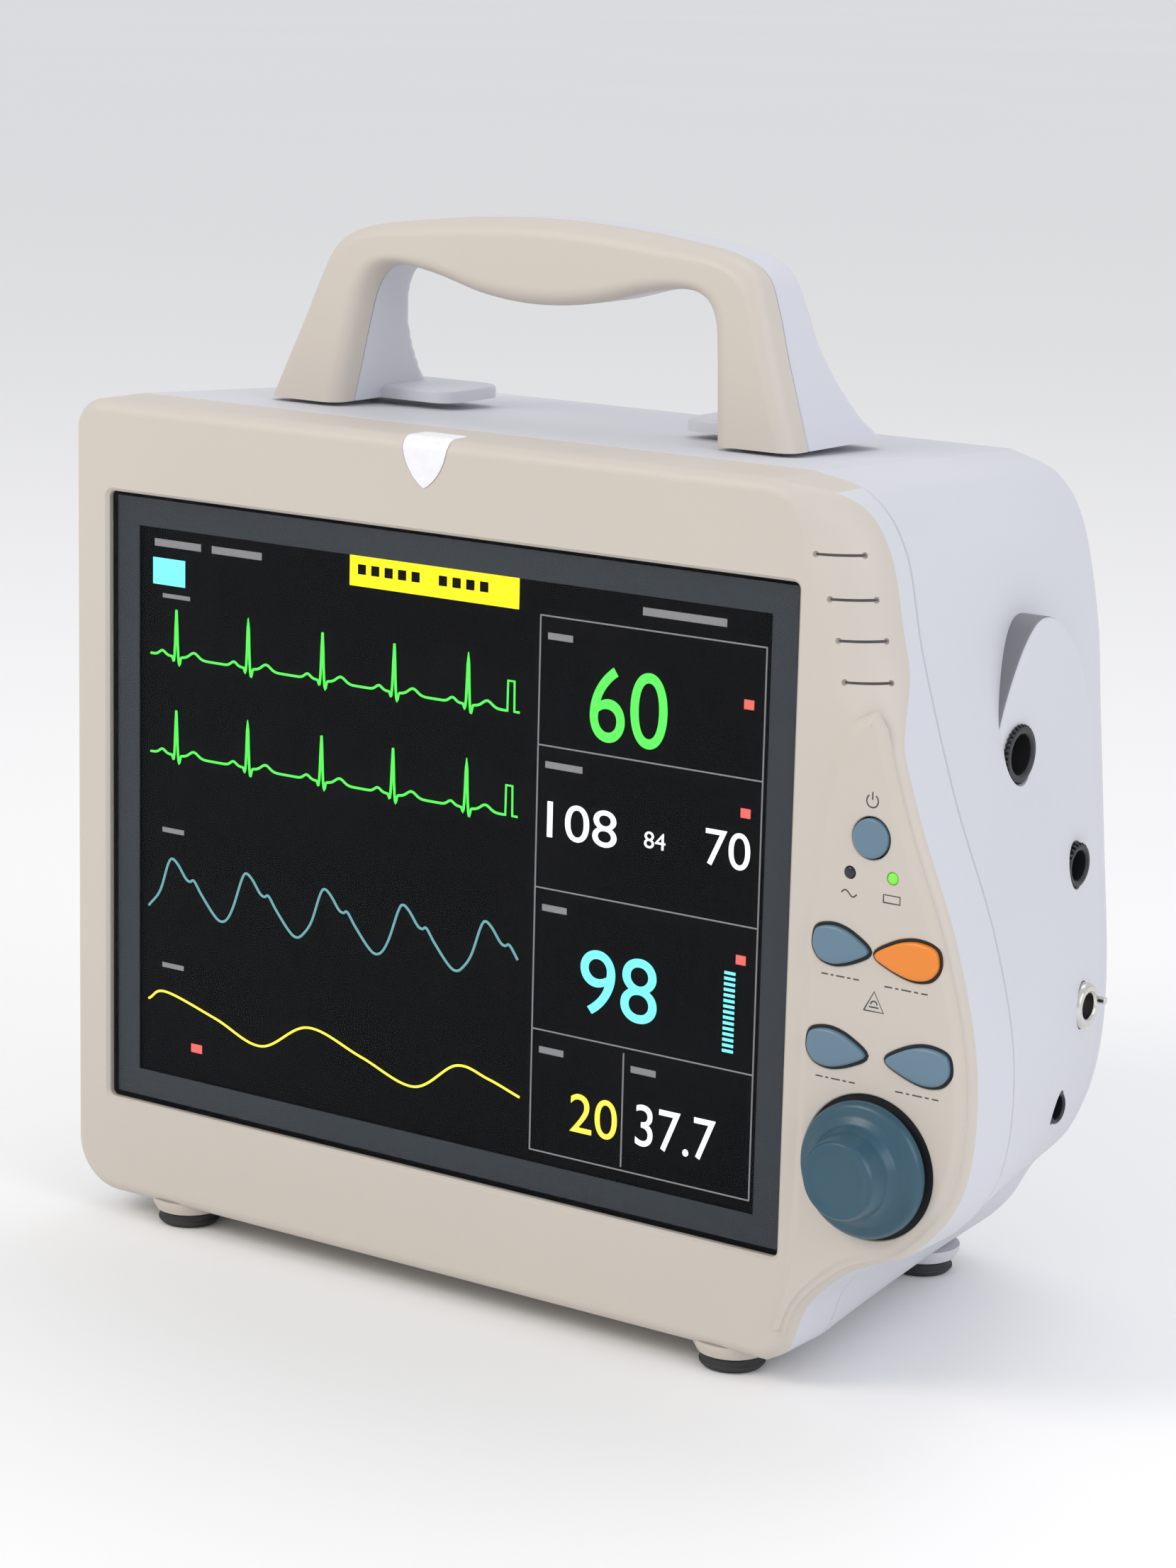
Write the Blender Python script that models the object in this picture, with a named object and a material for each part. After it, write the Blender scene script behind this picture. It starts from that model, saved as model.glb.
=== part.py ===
"""A bedside patient monitor with a carrying handle, as separate parts at real size.

Metres, +Z up, the screen faces -Y. The origin is at the centre of the footprint, on the
surface that the feet stand on. The display drives the size: the housing is the display
window plus its margins and the control strip at its right.
"""
import math

import bmesh
import bpy
from mathutils import Vector

MM = 0.001

# Display and housing
DISPLAY_WIDTH = 211.2 * MM
DISPLAY_HEIGHT = 158.4 * MM
WINDOW_BORDER = 9.6 * MM
LEFT_MARGIN = 13.4 * MM
CONTROL_WIDTH = 56.2 * MM
TOP_MARGIN = 25.7 * MM
BOTTOM_MARGIN = 29.7 * MM
HOUSING_DEPTH = 136.0 * MM
FRONT_DEPTH = 22.0 * MM
FOOT_HEIGHT = 7.0 * MM
HANDLE_RISE = 55.0 * MM
KNOB_REACH = 16.0 * MM
WALL = 2.5 * MM
REAR_TAPER = 5.5 * MM
EDGE_RADIUS = 4.0 * MM
INNER_CORNER = 6.5 * MM
SHOULDER_RADIUS = 17.0 * MM
REAR_RADIUS = 14.0 * MM

# Clearances
GAP = 0.3 * MM
KEY_GAP = 0.8 * MM
SLIDE_GAP = 0.4 * MM

# Controls
POD_RISE = 0.8 * MM
KEY_RISE = 1.5 * MM
KEY_TRAVEL = 1.2 * MM
KEY_FLANGE = 1.2 * MM
POWER_RADIUS = 5.15 * MM
LED_RADIUS = 1.5 * MM
KNOB_RADIUS = 18.0 * MM
KNOB_RECESS = 1.5 * MM
KNOB_TRAVEL = 0.7 * MM
KNOB_CLEAR = 0.6 * MM
SHAFT_RADIUS = 3.0 * MM
ENCODER_SIDE = 15.0 * MM
BOARD = 1.6 * MM
SHEET = 1.5 * MM

# Sockets, feet, screws
ECG_RADIUS = 8.0 * MM
SPO2_RADIUS = 6.3 * MM
NIBP_RADIUS = 6.35 * MM
TEMP_RADIUS = 4.6 * MM
SOCKET_DEPTH = 14.0 * MM
PANEL_INSET = 27.0 * MM
FOOT_RADIUS = 9.0 * MM
SCREW_RADIUS = 1.5 * MM
HEAD_RADIUS = 2.8 * MM
POST_RADIUS = 4.5 * MM
WELL_RADIUS = 4.0 * MM
WELL_WALL = 1.5 * MM
BATTERY_LENGTH = 100.0 * MM
BATTERY_HEIGHT = 34.0 * MM
BATTERY_WIDTH = 42.0 / 136.0 * HOUSING_DEPTH
BATTERY_CLEAR = 1.0 * MM

SHARP_ANGLE = math.radians(32.0)

# Places that follow from the sizes
WINDOW_WIDTH = DISPLAY_WIDTH + 2.0 * WINDOW_BORDER
WINDOW_HEIGHT = DISPLAY_HEIGHT + 2.0 * WINDOW_BORDER
BODY_WIDTH = LEFT_MARGIN + WINDOW_WIDTH + CONTROL_WIDTH
BODY_HEIGHT = BOTTOM_MARGIN + WINDOW_HEIGHT + TOP_MARGIN
LEFT = -BODY_WIDTH / 2.0
RIGHT = BODY_WIDTH / 2.0
BOTTOM = FOOT_HEIGHT
TOP = BOTTOM + BODY_HEIGHT
FRONT = -(HOUSING_DEPTH + KNOB_REACH) / 2.0 + KNOB_REACH
REAR = FRONT + HOUSING_DEPTH
PARTING = FRONT + FRONT_DEPTH
INNER_FRONT = FRONT + WALL
INNER_REAR = REAR - WALL
POD_FACE = FRONT - POD_RISE
WINDOW_LEFT = LEFT + LEFT_MARGIN
WINDOW_RIGHT = WINDOW_LEFT + WINDOW_WIDTH
WINDOW_BOTTOM = BOTTOM + BOTTOM_MARGIN
WINDOW_TOP = WINDOW_BOTTOM + WINDOW_HEIGHT
WINDOW_X = (WINDOW_LEFT + WINDOW_RIGHT) / 2.0
WINDOW_Z = (WINDOW_BOTTOM + WINDOW_TOP) / 2.0
HANDLE_X = WINDOW_X - 1.9 * MM
PANEL_FACE = RIGHT - PANEL_INSET
MAT_FACE = INNER_FRONT + 11.0 * MM
BOARD_FACE = MAT_FACE + 1.5 * MM


def level(share):
    """Height at a share of the housing's height, measured up from its underside."""
    return BOTTOM + share * BODY_HEIGHT


# ---------------------------------------------------------------- outlines

def smooth_path(points, steps):
    """A Catmull-Rom curve through the points, with `steps` pieces in each span."""
    points = [Vector(p) for p in points]
    padded = [2 * points[0] - points[1]] + points + [2 * points[-1] - points[-2]]
    path = []
    for i in range(len(points) - 1):
        a, b, c, d = padded[i:i + 4]
        for step in range(steps):
            t = step / steps
            bend = (2 * a - 5 * b + 4 * c - d) * t * t + (3 * b - a - 3 * c + d) * t ** 3
            path.append(b + 0.5 * ((c - a) * t + bend))
    path.append(points[-1])
    return path


def arc(centre, radius, start, end, steps):
    """Points on a circle from one angle to another, in degrees."""
    path = []
    for step in range(steps + 1):
        angle = math.radians(start + (end - start) * step / steps)
        path.append(Vector((centre[0] + radius * math.cos(angle),
                            centre[1] + radius * math.sin(angle))))
    return path


def circle(centre, radius, sides):
    return arc(centre, radius, 0.0, 360.0 - 360.0 / sides, sides - 1)


def rounded_box(low, high, radius, steps):
    """A rectangle outline with round corners, counterclockwise."""
    corners = [((high[0] - radius, low[1] + radius), -90.0),
               ((high[0] - radius, high[1] - radius), 0.0),
               ((low[0] + radius, high[1] - radius), 90.0),
               ((low[0] + radius, low[1] + radius), 180.0)]
    path = []
    for centre, start in corners:
        path += arc(centre, radius, start, start + 90.0, steps)
    return path


def inset(outline, distance):
    """Moves each point of a counterclockwise outline inward; distance may be a function."""
    moved = []
    for i, point in enumerate(outline):
        before = (point - outline[i - 1]).normalized()
        after = (outline[(i + 1) % len(outline)] - point).normalized()
        along = (before + after).normalized()
        inward = Vector((-along.y, along.x))
        reach = distance(point) if callable(distance) else distance
        moved.append(point + inward * reach / max(0.5, along.dot(before)))
    return moved


def blend(first, second, share):
    return [a.lerp(b, share) for a, b in zip(first, second)]


def smoothstep(low, high, value):
    t = min(1.0, max(0.0, (value - low) / (high - low)))
    return t * t * (3.0 - 2.0 * t)


# Right side of the housing, top to bottom: inset from the widest point, share of the height
SIDE_AT_PARTING = [(66.0, 1.0), (49.0, 0.981), (38.0, 0.923), (31.5, 0.807), (20.5, 0.657),
                   (7.5, 0.515), (0.3, 0.378), (2.5, 0.249), (16.0, 0.167), (34.0, 0.129),
                   (47.0, 0.077), (52.5, 0.02), (59.0, 0.0)]
SIDE_AT_REAR = [(66.0, 0.983), (52.0, 0.961), (43.0, 0.906), (37.0, 0.794), (34.5, 0.678),
                (31.5, 0.528), (28.5, 0.365), (30.0, 0.253), (37.0, 0.167), (48.0, 0.112),
                (56.0, 0.056), (68.0, 0.013), (84.0, 0.0)]


def housing_outline(side, left, top, radii):
    """Counterclockwise outline in X and Z: the shaped right side, then the two left corners."""
    right_side = [(RIGHT - inset_mm * MM, level(share)) for inset_mm, share in side]
    path = smooth_path(right_side[::-1], 3)
    path += arc((left + radii[0], top - radii[0]), radii[0], 90.0, 180.0, 5)
    path += arc((left + radii[1], BOTTOM + radii[1]), radii[1], 180.0, 270.0, 5)
    return path


OUTLINE = housing_outline(SIDE_AT_PARTING, LEFT, TOP, (9.0 * MM, 15.0 * MM))
REAR_OUTLINE = housing_outline(SIDE_AT_REAR, LEFT + REAR_TAPER, level(SIDE_AT_REAR[0][1]),
                               (17.0 * MM, 17.0 * MM))


def left_side(y):
    """X of the housing's left side, which leans inward from the parting line to the rear."""
    return LEFT + REAR_TAPER * (y - PARTING) / (REAR - REAR_RADIUS - PARTING)


def top_at(y):
    """Height of the housing's top, which falls a little from the parting line to the rear."""
    share = (y - PARTING) / (REAR - REAR_RADIUS - PARTING)
    return TOP + (level(SIDE_AT_REAR[0][1]) - TOP) * share


def behind(distance):
    """Depth of a place given in mm behind the parting line, scaled to the rear shell's depth."""
    return PARTING + distance / 114.0 * (REAR - PARTING)


def front_radius(point):
    """Edge rounding of the front face: small all round, large on the upper right shoulder."""
    upper = smoothstep(level(0.71), level(0.81), point.y)
    right = smoothstep(WINDOW_RIGHT - 6.0 * MM, WINDOW_RIGHT + 14.0 * MM, point.x)
    return EDGE_RADIUS + (SHOULDER_RADIUS - EDGE_RADIUS) * upper * right


# ---------------------------------------------------------------- solids

def material(name, colour, roughness, metallic=0.0):
    made = bpy.data.materials.new(name)
    made.use_nodes = True
    shader = made.node_tree.nodes["Principled BSDF"]
    shader.inputs["Base Color"].default_value = (*colour, 1.0)
    shader.inputs["Roughness"].default_value = roughness
    shader.inputs["Metallic"].default_value = metallic
    return made


def build(name, points, faces, finish, origin=(0.0, 0.0, 0.0)):
    """One object from world points and faces, with its own origin."""
    origin = Vector(origin)
    mesh = bpy.data.meshes.new(name)
    mesh.from_pydata([Vector(p) - origin for p in points], [], faces)
    work = bmesh.new()
    work.from_mesh(mesh)
    bmesh.ops.recalc_face_normals(work, faces=work.faces)
    work.to_mesh(mesh)
    work.free()
    mesh.shade_smooth()
    mesh.set_sharp_from_angle(angle=SHARP_ANGLE)
    if finish:
        mesh.materials.append(finish)
    made = bpy.data.objects.new(name, mesh)
    made.location = origin
    bpy.context.scene.collection.objects.link(made)
    return made


def ring_faces(rings, count, start):
    faces = []
    for ring in range(rings - 1):
        first = start + ring * count
        for i in range(count):
            j = (i + 1) % count
            faces.append((first + i, first + j, first + count + j, first + count + i))
    return faces


def loft(name, rings, finish=None, origin=(0.0, 0.0, 0.0)):
    """A closed solid through rings of equal count, with a flat cap at each end."""
    count = len(rings[0])
    points = [point for ring in rings for point in ring]
    faces = ring_faces(len(rings), count, 0)
    faces.append(tuple(range(count)))
    faces.append(tuple(range(len(points) - count, len(points))))
    return build(name, points, faces, finish, origin)


def at(axis, a, b, along):
    """A world point from two in-plane values and one along the axis."""
    return {"X": (along, a, b), "Y": (a, along, b), "Z": (a, b, along)}[axis]


def prism(name, axis, outline, low, high, finish=None, origin=(0.0, 0.0, 0.0)):
    rings = [[at(axis, p[0], p[1], along) for p in outline] for along in (low, high)]
    return loft(name, rings, finish, origin)


def block(name, low, high, finish=None):
    outline = [(low[0], low[1]), (high[0], low[1]), (high[0], high[1]), (low[0], high[1])]
    return prism(name, "Z", outline, low[2], high[2], finish)


def turned(name, axis, centre, profile, finish=None, sides=20, origin=(0.0, 0.0, 0.0)):
    """A solid turned about an axis from (radius, place along the axis) points."""
    rings = [[at(axis, p[0], p[1], along) for p in circle(centre, radius, sides)]
             for radius, along in profile]
    return loft(name, rings, finish, origin)


def tube(name, axis, centre, profile, finish=None, sides=24, origin=(0.0, 0.0, 0.0)):
    """A ring turned about an axis from a closed profile that stays off the axis."""
    rings = [[at(axis, p[0], p[1], along) for p in circle(centre, radius, sides)]
             for radius, along in profile + profile[:1]]
    points = [point for ring in rings[:-1] for point in ring]
    faces = ring_faces(len(rings), sides, 0)
    wrapped = [tuple(i % len(points) for i in face) for face in faces]
    return build(name, points, wrapped, finish, origin)


def combine(target, operation, *tools):
    """Adds Boolean modifiers; each tool becomes a hidden helper."""
    for tool in tools:
        step = target.modifiers.new(tool.name, "BOOLEAN")
        step.operation = operation
        step.object = tool
        # The exact solver leaves the two shells open where a joined piece grazes their side
        step.solver = "MANIFOLD" if target.name.endswith("_housing") else "EXACT"
        tool.hide_render = True
        tool.display_type = "WIRE"


def cut(target, *tools):
    combine(target, "DIFFERENCE", *tools)


def join(target, *tools):
    combine(target, "UNION", *tools)


def screw(name, axis, place, tip, seat, head, finish):
    """A screw along an axis from its tip to its head's seat; `head` is the head's signed height."""
    profile = [(SCREW_RADIUS, tip), (SCREW_RADIUS, seat), (HEAD_RADIUS, seat),
               (HEAD_RADIUS, seat + head)]
    return turned(name, axis, place, profile, finish, 12)


# ---------------------------------------------------------------- finishes

def make_finishes():
    return {
        "beige": material("housing_beige", (0.62, 0.55, 0.47), 0.45),
        "white": material("housing_white", (0.62, 0.62, 0.68), 0.45),
        "blue": material("key_blue", (0.14, 0.24, 0.31), 0.40),
        "orange": material("key_orange", (0.75, 0.25, 0.04), 0.40),
        "teal": material("knob_teal", (0.05, 0.12, 0.18), 0.40),
        "glass": material("window_glass", (0.85, 0.88, 0.90), 0.05),
        "slate": material("mask_slate", (0.04, 0.05, 0.06), 0.25),
        "screen": material("screen_black", (0.01, 0.01, 0.012), 0.20),
        "seal": material("seal_rubber", (0.02, 0.02, 0.025), 0.75),
        "lens": material("lens_white", (0.85, 0.85, 0.88), 0.25),
        "led_green": material("led_green", (0.20, 0.70, 0.25), 0.20),
        "led_dark": material("led_dark", (0.05, 0.08, 0.05), 0.20),
        "socket": material("socket_dark", (0.04, 0.04, 0.05), 0.50),
        "gold": material("contact_gold", (0.80, 0.60, 0.25), 0.25, 1.0),
        "nickel": material("port_nickel", (0.70, 0.70, 0.72), 0.25, 1.0),
        "steel": material("sheet_steel", (0.55, 0.56, 0.58), 0.40, 1.0),
        "board": material("board_green", (0.03, 0.20, 0.08), 0.50),
        "black": material("black_plastic", (0.03, 0.03, 0.03), 0.50),
        "foot": material("foot_rubber", (0.05, 0.05, 0.05), 0.80),
    }


# ---------------------------------------------------------------- housing

# Left edge of the raised control strip, top to bottom: distance right of the window, share
STRIP_EDGE = [(23.7, 0.755), (18.5, 0.742), (15.0, 0.720), (12.4, 0.676), (10.3, 0.627),
              (8.9, 0.579), (8.1, 0.531), (7.2, 0.433), (6.9, 0.337), (6.0, 0.18), (4.2, 0.10),
              (1.0, 0.045)]
STRIP_SIDE_INSET = 3.2 * MM
SCREW_PLACES = [(LEFT + 20.0 * MM, TOP - 15.0 * MM), (WINDOW_RIGHT - 10.0 * MM, TOP - 15.0 * MM),
                (LEFT + 20.0 * MM, BOTTOM + 14.0 * MM),
                (WINDOW_RIGHT - 10.0 * MM, BOTTOM + 14.0 * MM)]


def strip_outline():
    """The raised plate under the controls: a curved left edge and the housing's own side."""
    edge = [(WINDOW_RIGHT + right * MM, level(share)) for right, share in STRIP_EDGE]
    low, high = edge[-1][1], edge[0][1]
    side = [p for p in inset(OUTLINE, STRIP_SIDE_INSET)
            if p.x > WINDOW_RIGHT and low < p.y < high]
    return smooth_path(edge, 2) + side


def outer_front_rings(proud=0.0):
    """Outside of the front housing from the parting line to its face, rounded at the edge."""
    rings = [[(p.x, PARTING - GAP / 2.0, p.y) for p in inset(OUTLINE, -proud)]]
    for step in range(5):
        angle = math.radians(22.5 * step)
        drawn_in = inset(OUTLINE, lambda p: front_radius(p) * (1.0 - math.cos(angle)) - proud)
        ring = []
        for original, point in zip(OUTLINE, drawn_in):
            depth = front_radius(original) * (1.0 - math.sin(angle))
            ring.append((point.x, FRONT - proud + depth, point.y))
        rings.append(ring)
    return rings


def front_housing(finish):
    outer = outer_front_rings()
    inner = []
    for y, start in ((INNER_FRONT, INNER_CORNER), (INNER_FRONT + EDGE_RADIUS, WALL)):
        drawn_in = inset(OUTLINE, lambda p: start + 0.45 * (front_radius(p) - EDGE_RADIUS))
        inner.append([(p.x, y, p.y) for p in drawn_in])
    inner.append([(p.x, PARTING - GAP / 2.0, p.y) for p in inset(OUTLINE, WALL)])
    body = loft("front_housing", inner + outer, finish)

    join(body, prism("strip_plate", "Y", strip_outline(), POD_FACE, FRONT + 0.5 * MM))
    for number, place in enumerate(SCREW_PLACES):
        start = INNER_FRONT - 0.5 * MM
        join(body, turned(f"post_{number}", "Y", place,
                          [(POST_RADIUS, start), (POST_RADIUS, PARTING + 2.0 * MM)], sides=12))
        cut(body, turned(f"post_hole_{number}", "Y", place,
                         [(SCREW_RADIUS + GAP, INNER_FRONT + 2.0 * MM),
                          (SCREW_RADIUS + GAP, PARTING + 3.0 * MM)], sides=10))
    for number, place in enumerate(FOOT_PLACES[:2]):
        join(body, foot_boss(number, place))

    window = []
    for y, grow in ((FRONT - 1.0 * MM, 2.3 * MM), (FRONT, 1.3 * MM), (FRONT + 1.0 * MM, GAP),
                    (INNER_FRONT + 1.0 * MM, GAP)):
        outline = rounded_box((WINDOW_LEFT - grow, WINDOW_BOTTOM - grow),
                              (WINDOW_RIGHT + grow, WINDOW_TOP + grow), 4.0 * MM + grow, 3)
        window.append([(p.x, y, p.y) for p in outline])
    cut(body, loft("window_opening", window))
    cut(body, loft("alarm_slot", alarm_lens_rings(GAP)))
    return body


def rear_housing(finish):
    """The deep shell: it blends from the front outline to a narrower rear outline."""
    start = REAR - REAR_RADIUS
    outer, inner = [], []
    for share in (0.0, 0.3, 0.6, 0.8, 1.0):
        y = PARTING + GAP / 2.0 + share * (start - PARTING)
        section = blend(OUTLINE, REAR_OUTLINE, share)
        outer.append([(p.x, y, p.y) for p in section])
        inner.append([(p.x, y, p.y) for p in inset(section, WALL)])
    for step in range(1, 5):
        angle = math.radians(22.5 * step)
        drawn_in = REAR_RADIUS * (1.0 - math.cos(angle))
        reach = REAR_RADIUS * math.sin(angle)
        outer.append([(p.x, start + reach, p.y) for p in inset(REAR_OUTLINE, drawn_in)])
        inner_reach = (REAR_RADIUS - WALL) * math.sin(angle)
        inner_in = WALL + (REAR_RADIUS - WALL) * (1.0 - math.cos(angle))
        inner.append([(p.x, start + inner_reach, p.y) for p in inset(REAR_OUTLINE, inner_in)])
    body = loft("rear_housing", inner[::-1] + outer, finish)
    shape = loft("rear_shape", outer)
    shape.hide_render = True
    shape.display_type = "WIRE"

    join(body, side_panel("side_panel", PANEL_FACE - 14.0 * MM, PANEL_FACE))
    for number, place in enumerate(SCREW_PLACES):
        front = PARTING + 2.0 * MM + GAP
        well = turned(f"well_{number}", "Y", place,
                      [(WELL_RADIUS + WELL_WALL, front), (WELL_RADIUS + WELL_WALL, REAR)], sides=14)
        combine(well, "INTERSECT", shape)
        join(body, well)
        cut(body, turned(f"well_hole_{number}", "Y", place,
                         [(SCREW_RADIUS + GAP, front - 1.0 * MM),
                          (SCREW_RADIUS + GAP, front + 2.0 * MM), (WELL_RADIUS, front + 2.0 * MM),
                          (WELL_RADIUS, REAR + 1.0 * MM)], sides=14))
    for number, place in enumerate(FOOT_PLACES[2:]):
        join(body, foot_boss(number + 2, place))
    cut(body, door_outline("door_opening", SLIDE_GAP, LEFT - 2.0 * MM, WALL + 4.0 * MM))
    return body


# ---------------------------------------------------------------- feet and bottom plate

FOOT_PLACES = [(WINDOW_LEFT + 21.6 * MM, FRONT + 11.0 * MM),
               (WINDOW_RIGHT - 18.8 * MM, FRONT + 11.0 * MM),
               (WINDOW_LEFT + 21.6 * MM, REAR - 26.0 * MM),
               (WINDOW_RIGHT - 18.8 * MM, REAR - 26.0 * MM)]
FOOT_NAMES = ["foot_front_left", "foot_front_right", "foot_rear_left", "foot_rear_right"]
BOSS_HEIGHT = 3.0 * MM
PLATE_SHEET = 2.0 * MM
PLATE_SIZE = (120.0 * MM, 70.0 * MM)
PLATE_HOLES = (100.0 * MM, 50.0 * MM)
# The screw heads sit in counterbores, a little above the plate's lower face
PLATE_SINK = 1.2 * MM
PLATE_RECESS = 0.1 * MM


def foot_boss(number, place):
    low = BOTTOM - BOSS_HEIGHT
    return turned(f"foot_boss_{number}", "Z", place,
                  [(FOOT_RADIUS + 0.6 * MM, low), (FOOT_RADIUS + 2.0 * MM, BOTTOM + 1.0 * MM)],
                  sides=24)


def feet(finish):
    top = BOTTOM - BOSS_HEIGHT - GAP
    for name, place in zip(FOOT_NAMES, FOOT_PLACES):
        turned(name, "Z", place, [(FOOT_RADIUS - 0.8 * MM, 0.0), (FOOT_RADIUS, 0.8 * MM),
                                  (FOOT_RADIUS, top)], finish, sides=24)


def plate_holes():
    x, y = PLATE_HOLES
    return [(WINDOW_X + side * x / 2.0, 4.0 * MM + end * y / 2.0)
            for side in (-1, 1) for end in (-1, 1)]


def mounting_plate(finishes):
    """A flat steel plate under the housing that a stand or a wall arm takes hold of."""
    low, high = BOTTOM - GAP - PLATE_SHEET, BOTTOM - GAP
    x, y = PLATE_SIZE
    plate = prism("mounting_plate", "Z",
                  rounded_box((WINDOW_X - x / 2.0, 4.0 * MM - y / 2.0),
                              (WINDOW_X + x / 2.0, 4.0 * MM + y / 2.0), 6.0 * MM, 3),
                  low, high, finishes["steel"])
    for number, place in enumerate(plate_holes()):
        web = low + PLATE_SINK
        cut(plate, turned(f"plate_hole_{number}", "Z", place,
                          [(HEAD_RADIUS + GAP, low - MM), (HEAD_RADIUS + GAP, web),
                           (SCREW_RADIUS + GAP, web), (SCREW_RADIUS + GAP, high + MM)],
                          sides=12))
        screw(f"plate_screw_{number + 1}", "Z", place, BOTTOM + WALL + 3.0 * MM, web - GAP,
              PLATE_RECESS + GAP - PLATE_SINK, finishes["nickel"])


# ---------------------------------------------------------------- handle

# Half of the handle seen from the front, leg to middle: outer and inner edge points in pairs,
# as distance from the middle and height above the housing
HANDLE_OUTER = [(88.75, 0.0), (84.0, 12.0), (79.3, 24.0), (75.3, 35.0), (70.5, 44.3),
                (61.0, 49.4), (42.0, 52.3), (21.0, 54.3), (0.0, 55.0)]
HANDLE_INNER = [(63.5, 0.0), (61.9, 12.0), (60.3, 24.0), (58.6, 32.5), (54.8, 37.8),
                (47.5, 39.6), (35.0, 37.8), (17.5, 33.5), (0.0, 32.0)]
# Depth of the handle behind its front face, by height above the housing
HANDLE_DEPTH = [(0.0, 49.0), (6.0, 41.0), (16.0, 33.0), (26.0, 28.0), (41.0, 25.0), (55.0, 24.0)]
HANDLE_FRONT = 40.0 * MM
HANDLE_LEAN = 8.0 * MM
COVER_DEPTH = 9.0 * MM
HANDLE_ROUND = 5.0 * MM
# Flat pads that run inward from the handle's legs, measured from the handle's front face
PAD_HEIGHT = 3.6 * MM
PAD_REACH = 24.0 * MM
PAD_UNDER_LEG = 8.0 * MM
PAD_FRONT = 21.0 * MM
PAD_DEPTH = 27.0 * MM
HANDLE_SCREW_X = 76.0 * MM
HANDLE_SCREW_Y = (16.0 * MM, 34.0 * MM)
HANDLE_SCREW_HOLE = 11.0 * MM
HANDLE_SCREW_TIP = 9.0 * MM
HANDLE_SCREW_HEAD = 1.8 * MM


def handle_front_y(rise):
    return FRONT + HANDLE_FRONT + HANDLE_LEAN * rise / HANDLE_RISE


def handle_depth(rise):
    height = rise / HANDLE_RISE * HANDLE_DEPTH[-1][0]
    for (low, near), (high, far) in zip(HANDLE_DEPTH, HANDLE_DEPTH[1:]):
        if height <= high:
            return (near + (far - near) * max(0.0, height - low) / (high - low)) * MM
    return HANDLE_DEPTH[-1][1] * MM


def handle_half(name, finish, front_part):
    """Lofts one half of the arch: a rounded cover in front, a rounded frame behind."""
    scale = HANDLE_RISE / (HANDLE_OUTER[-1][1] * MM)
    edges = []
    for half in (HANDLE_OUTER, HANDLE_INNER):
        points = [(x * MM, z * MM * scale) for x, z in half]
        mirrored = [(-x, z) for x, z in points[-2::-1]]
        edges.append(smooth_path(points + mirrored, 2))
    radius, rings = HANDLE_ROUND, []
    for outer, inner in zip(*edges):
        width = (outer - inner).length
        # (share of width from inner to outer, distance behind the split or front face)
        turn = [(math.sin(math.radians(a)), 1.0 - math.cos(math.radians(a)))
                for a in (0.0, 30.0, 60.0, 90.0)]
        profile = [(1.0 - radius * (1.0 - s) / width, radius * c) for s, c in turn]
        profile = [(1.0 - s, c) for s, c in profile[::-1]] + profile
        ring = []
        for share, back in profile:
            spot = inner.lerp(outer, share)
            depth = handle_depth(spot.y)
            y = handle_front_y(spot.y) + (back if front_part else depth - back)
            ring.append((HANDLE_X + spot.x, y, TOP + GAP + spot.y))
        for share in (1.0, 0.0):
            spot = inner.lerp(outer, share)
            split = COVER_DEPTH - GAP / 2.0 if front_part else COVER_DEPTH + GAP / 2.0
            ring.append((HANDLE_X + spot.x, handle_front_y(spot.y) + split, TOP + GAP + spot.y))
        rings.append(ring)
    return loft(name, rings, finish)


def handle_screw_places():
    return [(HANDLE_X + side * HANDLE_SCREW_X, FRONT + HANDLE_FRONT + y)
            for side in (-1, 1) for y in HANDLE_SCREW_Y]


def handle(finishes):
    handle_half("handle_front", finishes["beige"], True)
    frame = handle_half("handle_rear", finishes["white"], False)
    inner = HANDLE_INNER[0][0] * MM
    low_y = FRONT + HANDLE_FRONT + PAD_FRONT
    for side in (-1, 1):
        near, far = sorted((HANDLE_X + side * (inner - PAD_REACH),
                            HANDLE_X + side * (inner + PAD_UNDER_LEG)))
        join(frame, prism(f"handle_pad_{side}", "Z",
                          rounded_box((near, low_y), (far, low_y + PAD_DEPTH), 6.0 * MM, 3),
                          TOP + GAP, TOP + GAP + PAD_HEIGHT))
    for number, place in enumerate(handle_screw_places()):
        cut(frame, turned(f"handle_hole_{number}", "Z", place,
                          [(SCREW_RADIUS + GAP, TOP), (SCREW_RADIUS + GAP, TOP + HANDLE_SCREW_HOLE)],
                          sides=10))
        screw(f"handle_screw_{number + 1}", "Z", place, TOP + HANDLE_SCREW_TIP,
              top_at(place[1]) - WALL - GAP, -HANDLE_SCREW_HEAD, finishes["nickel"])


def handle_screw_holes(rear):
    for number, place in enumerate(handle_screw_places()):
        cut(rear, turned(f"top_hole_{number}", "Z", place,
                         [(SCREW_RADIUS + GAP, TOP - 3.0 * WALL), (SCREW_RADIUS + GAP, TOP + MM)],
                         sides=10))
    for number, place in enumerate(plate_holes()):
        cut(rear, turned(f"bottom_hole_{number}", "Z", place,
                         [(SCREW_RADIUS + GAP, BOTTOM - MM),
                          (SCREW_RADIUS + GAP, BOTTOM + 2.0 * WALL)], sides=12))


# ---------------------------------------------------------------- alarm lamp

LENS_WIDTH = 15.0 * MM
LENS_DROP = 13.4 * MM
LENS_DEPTH = 9.0 * MM
LENS_PROUD = 0.4 * MM


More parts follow.
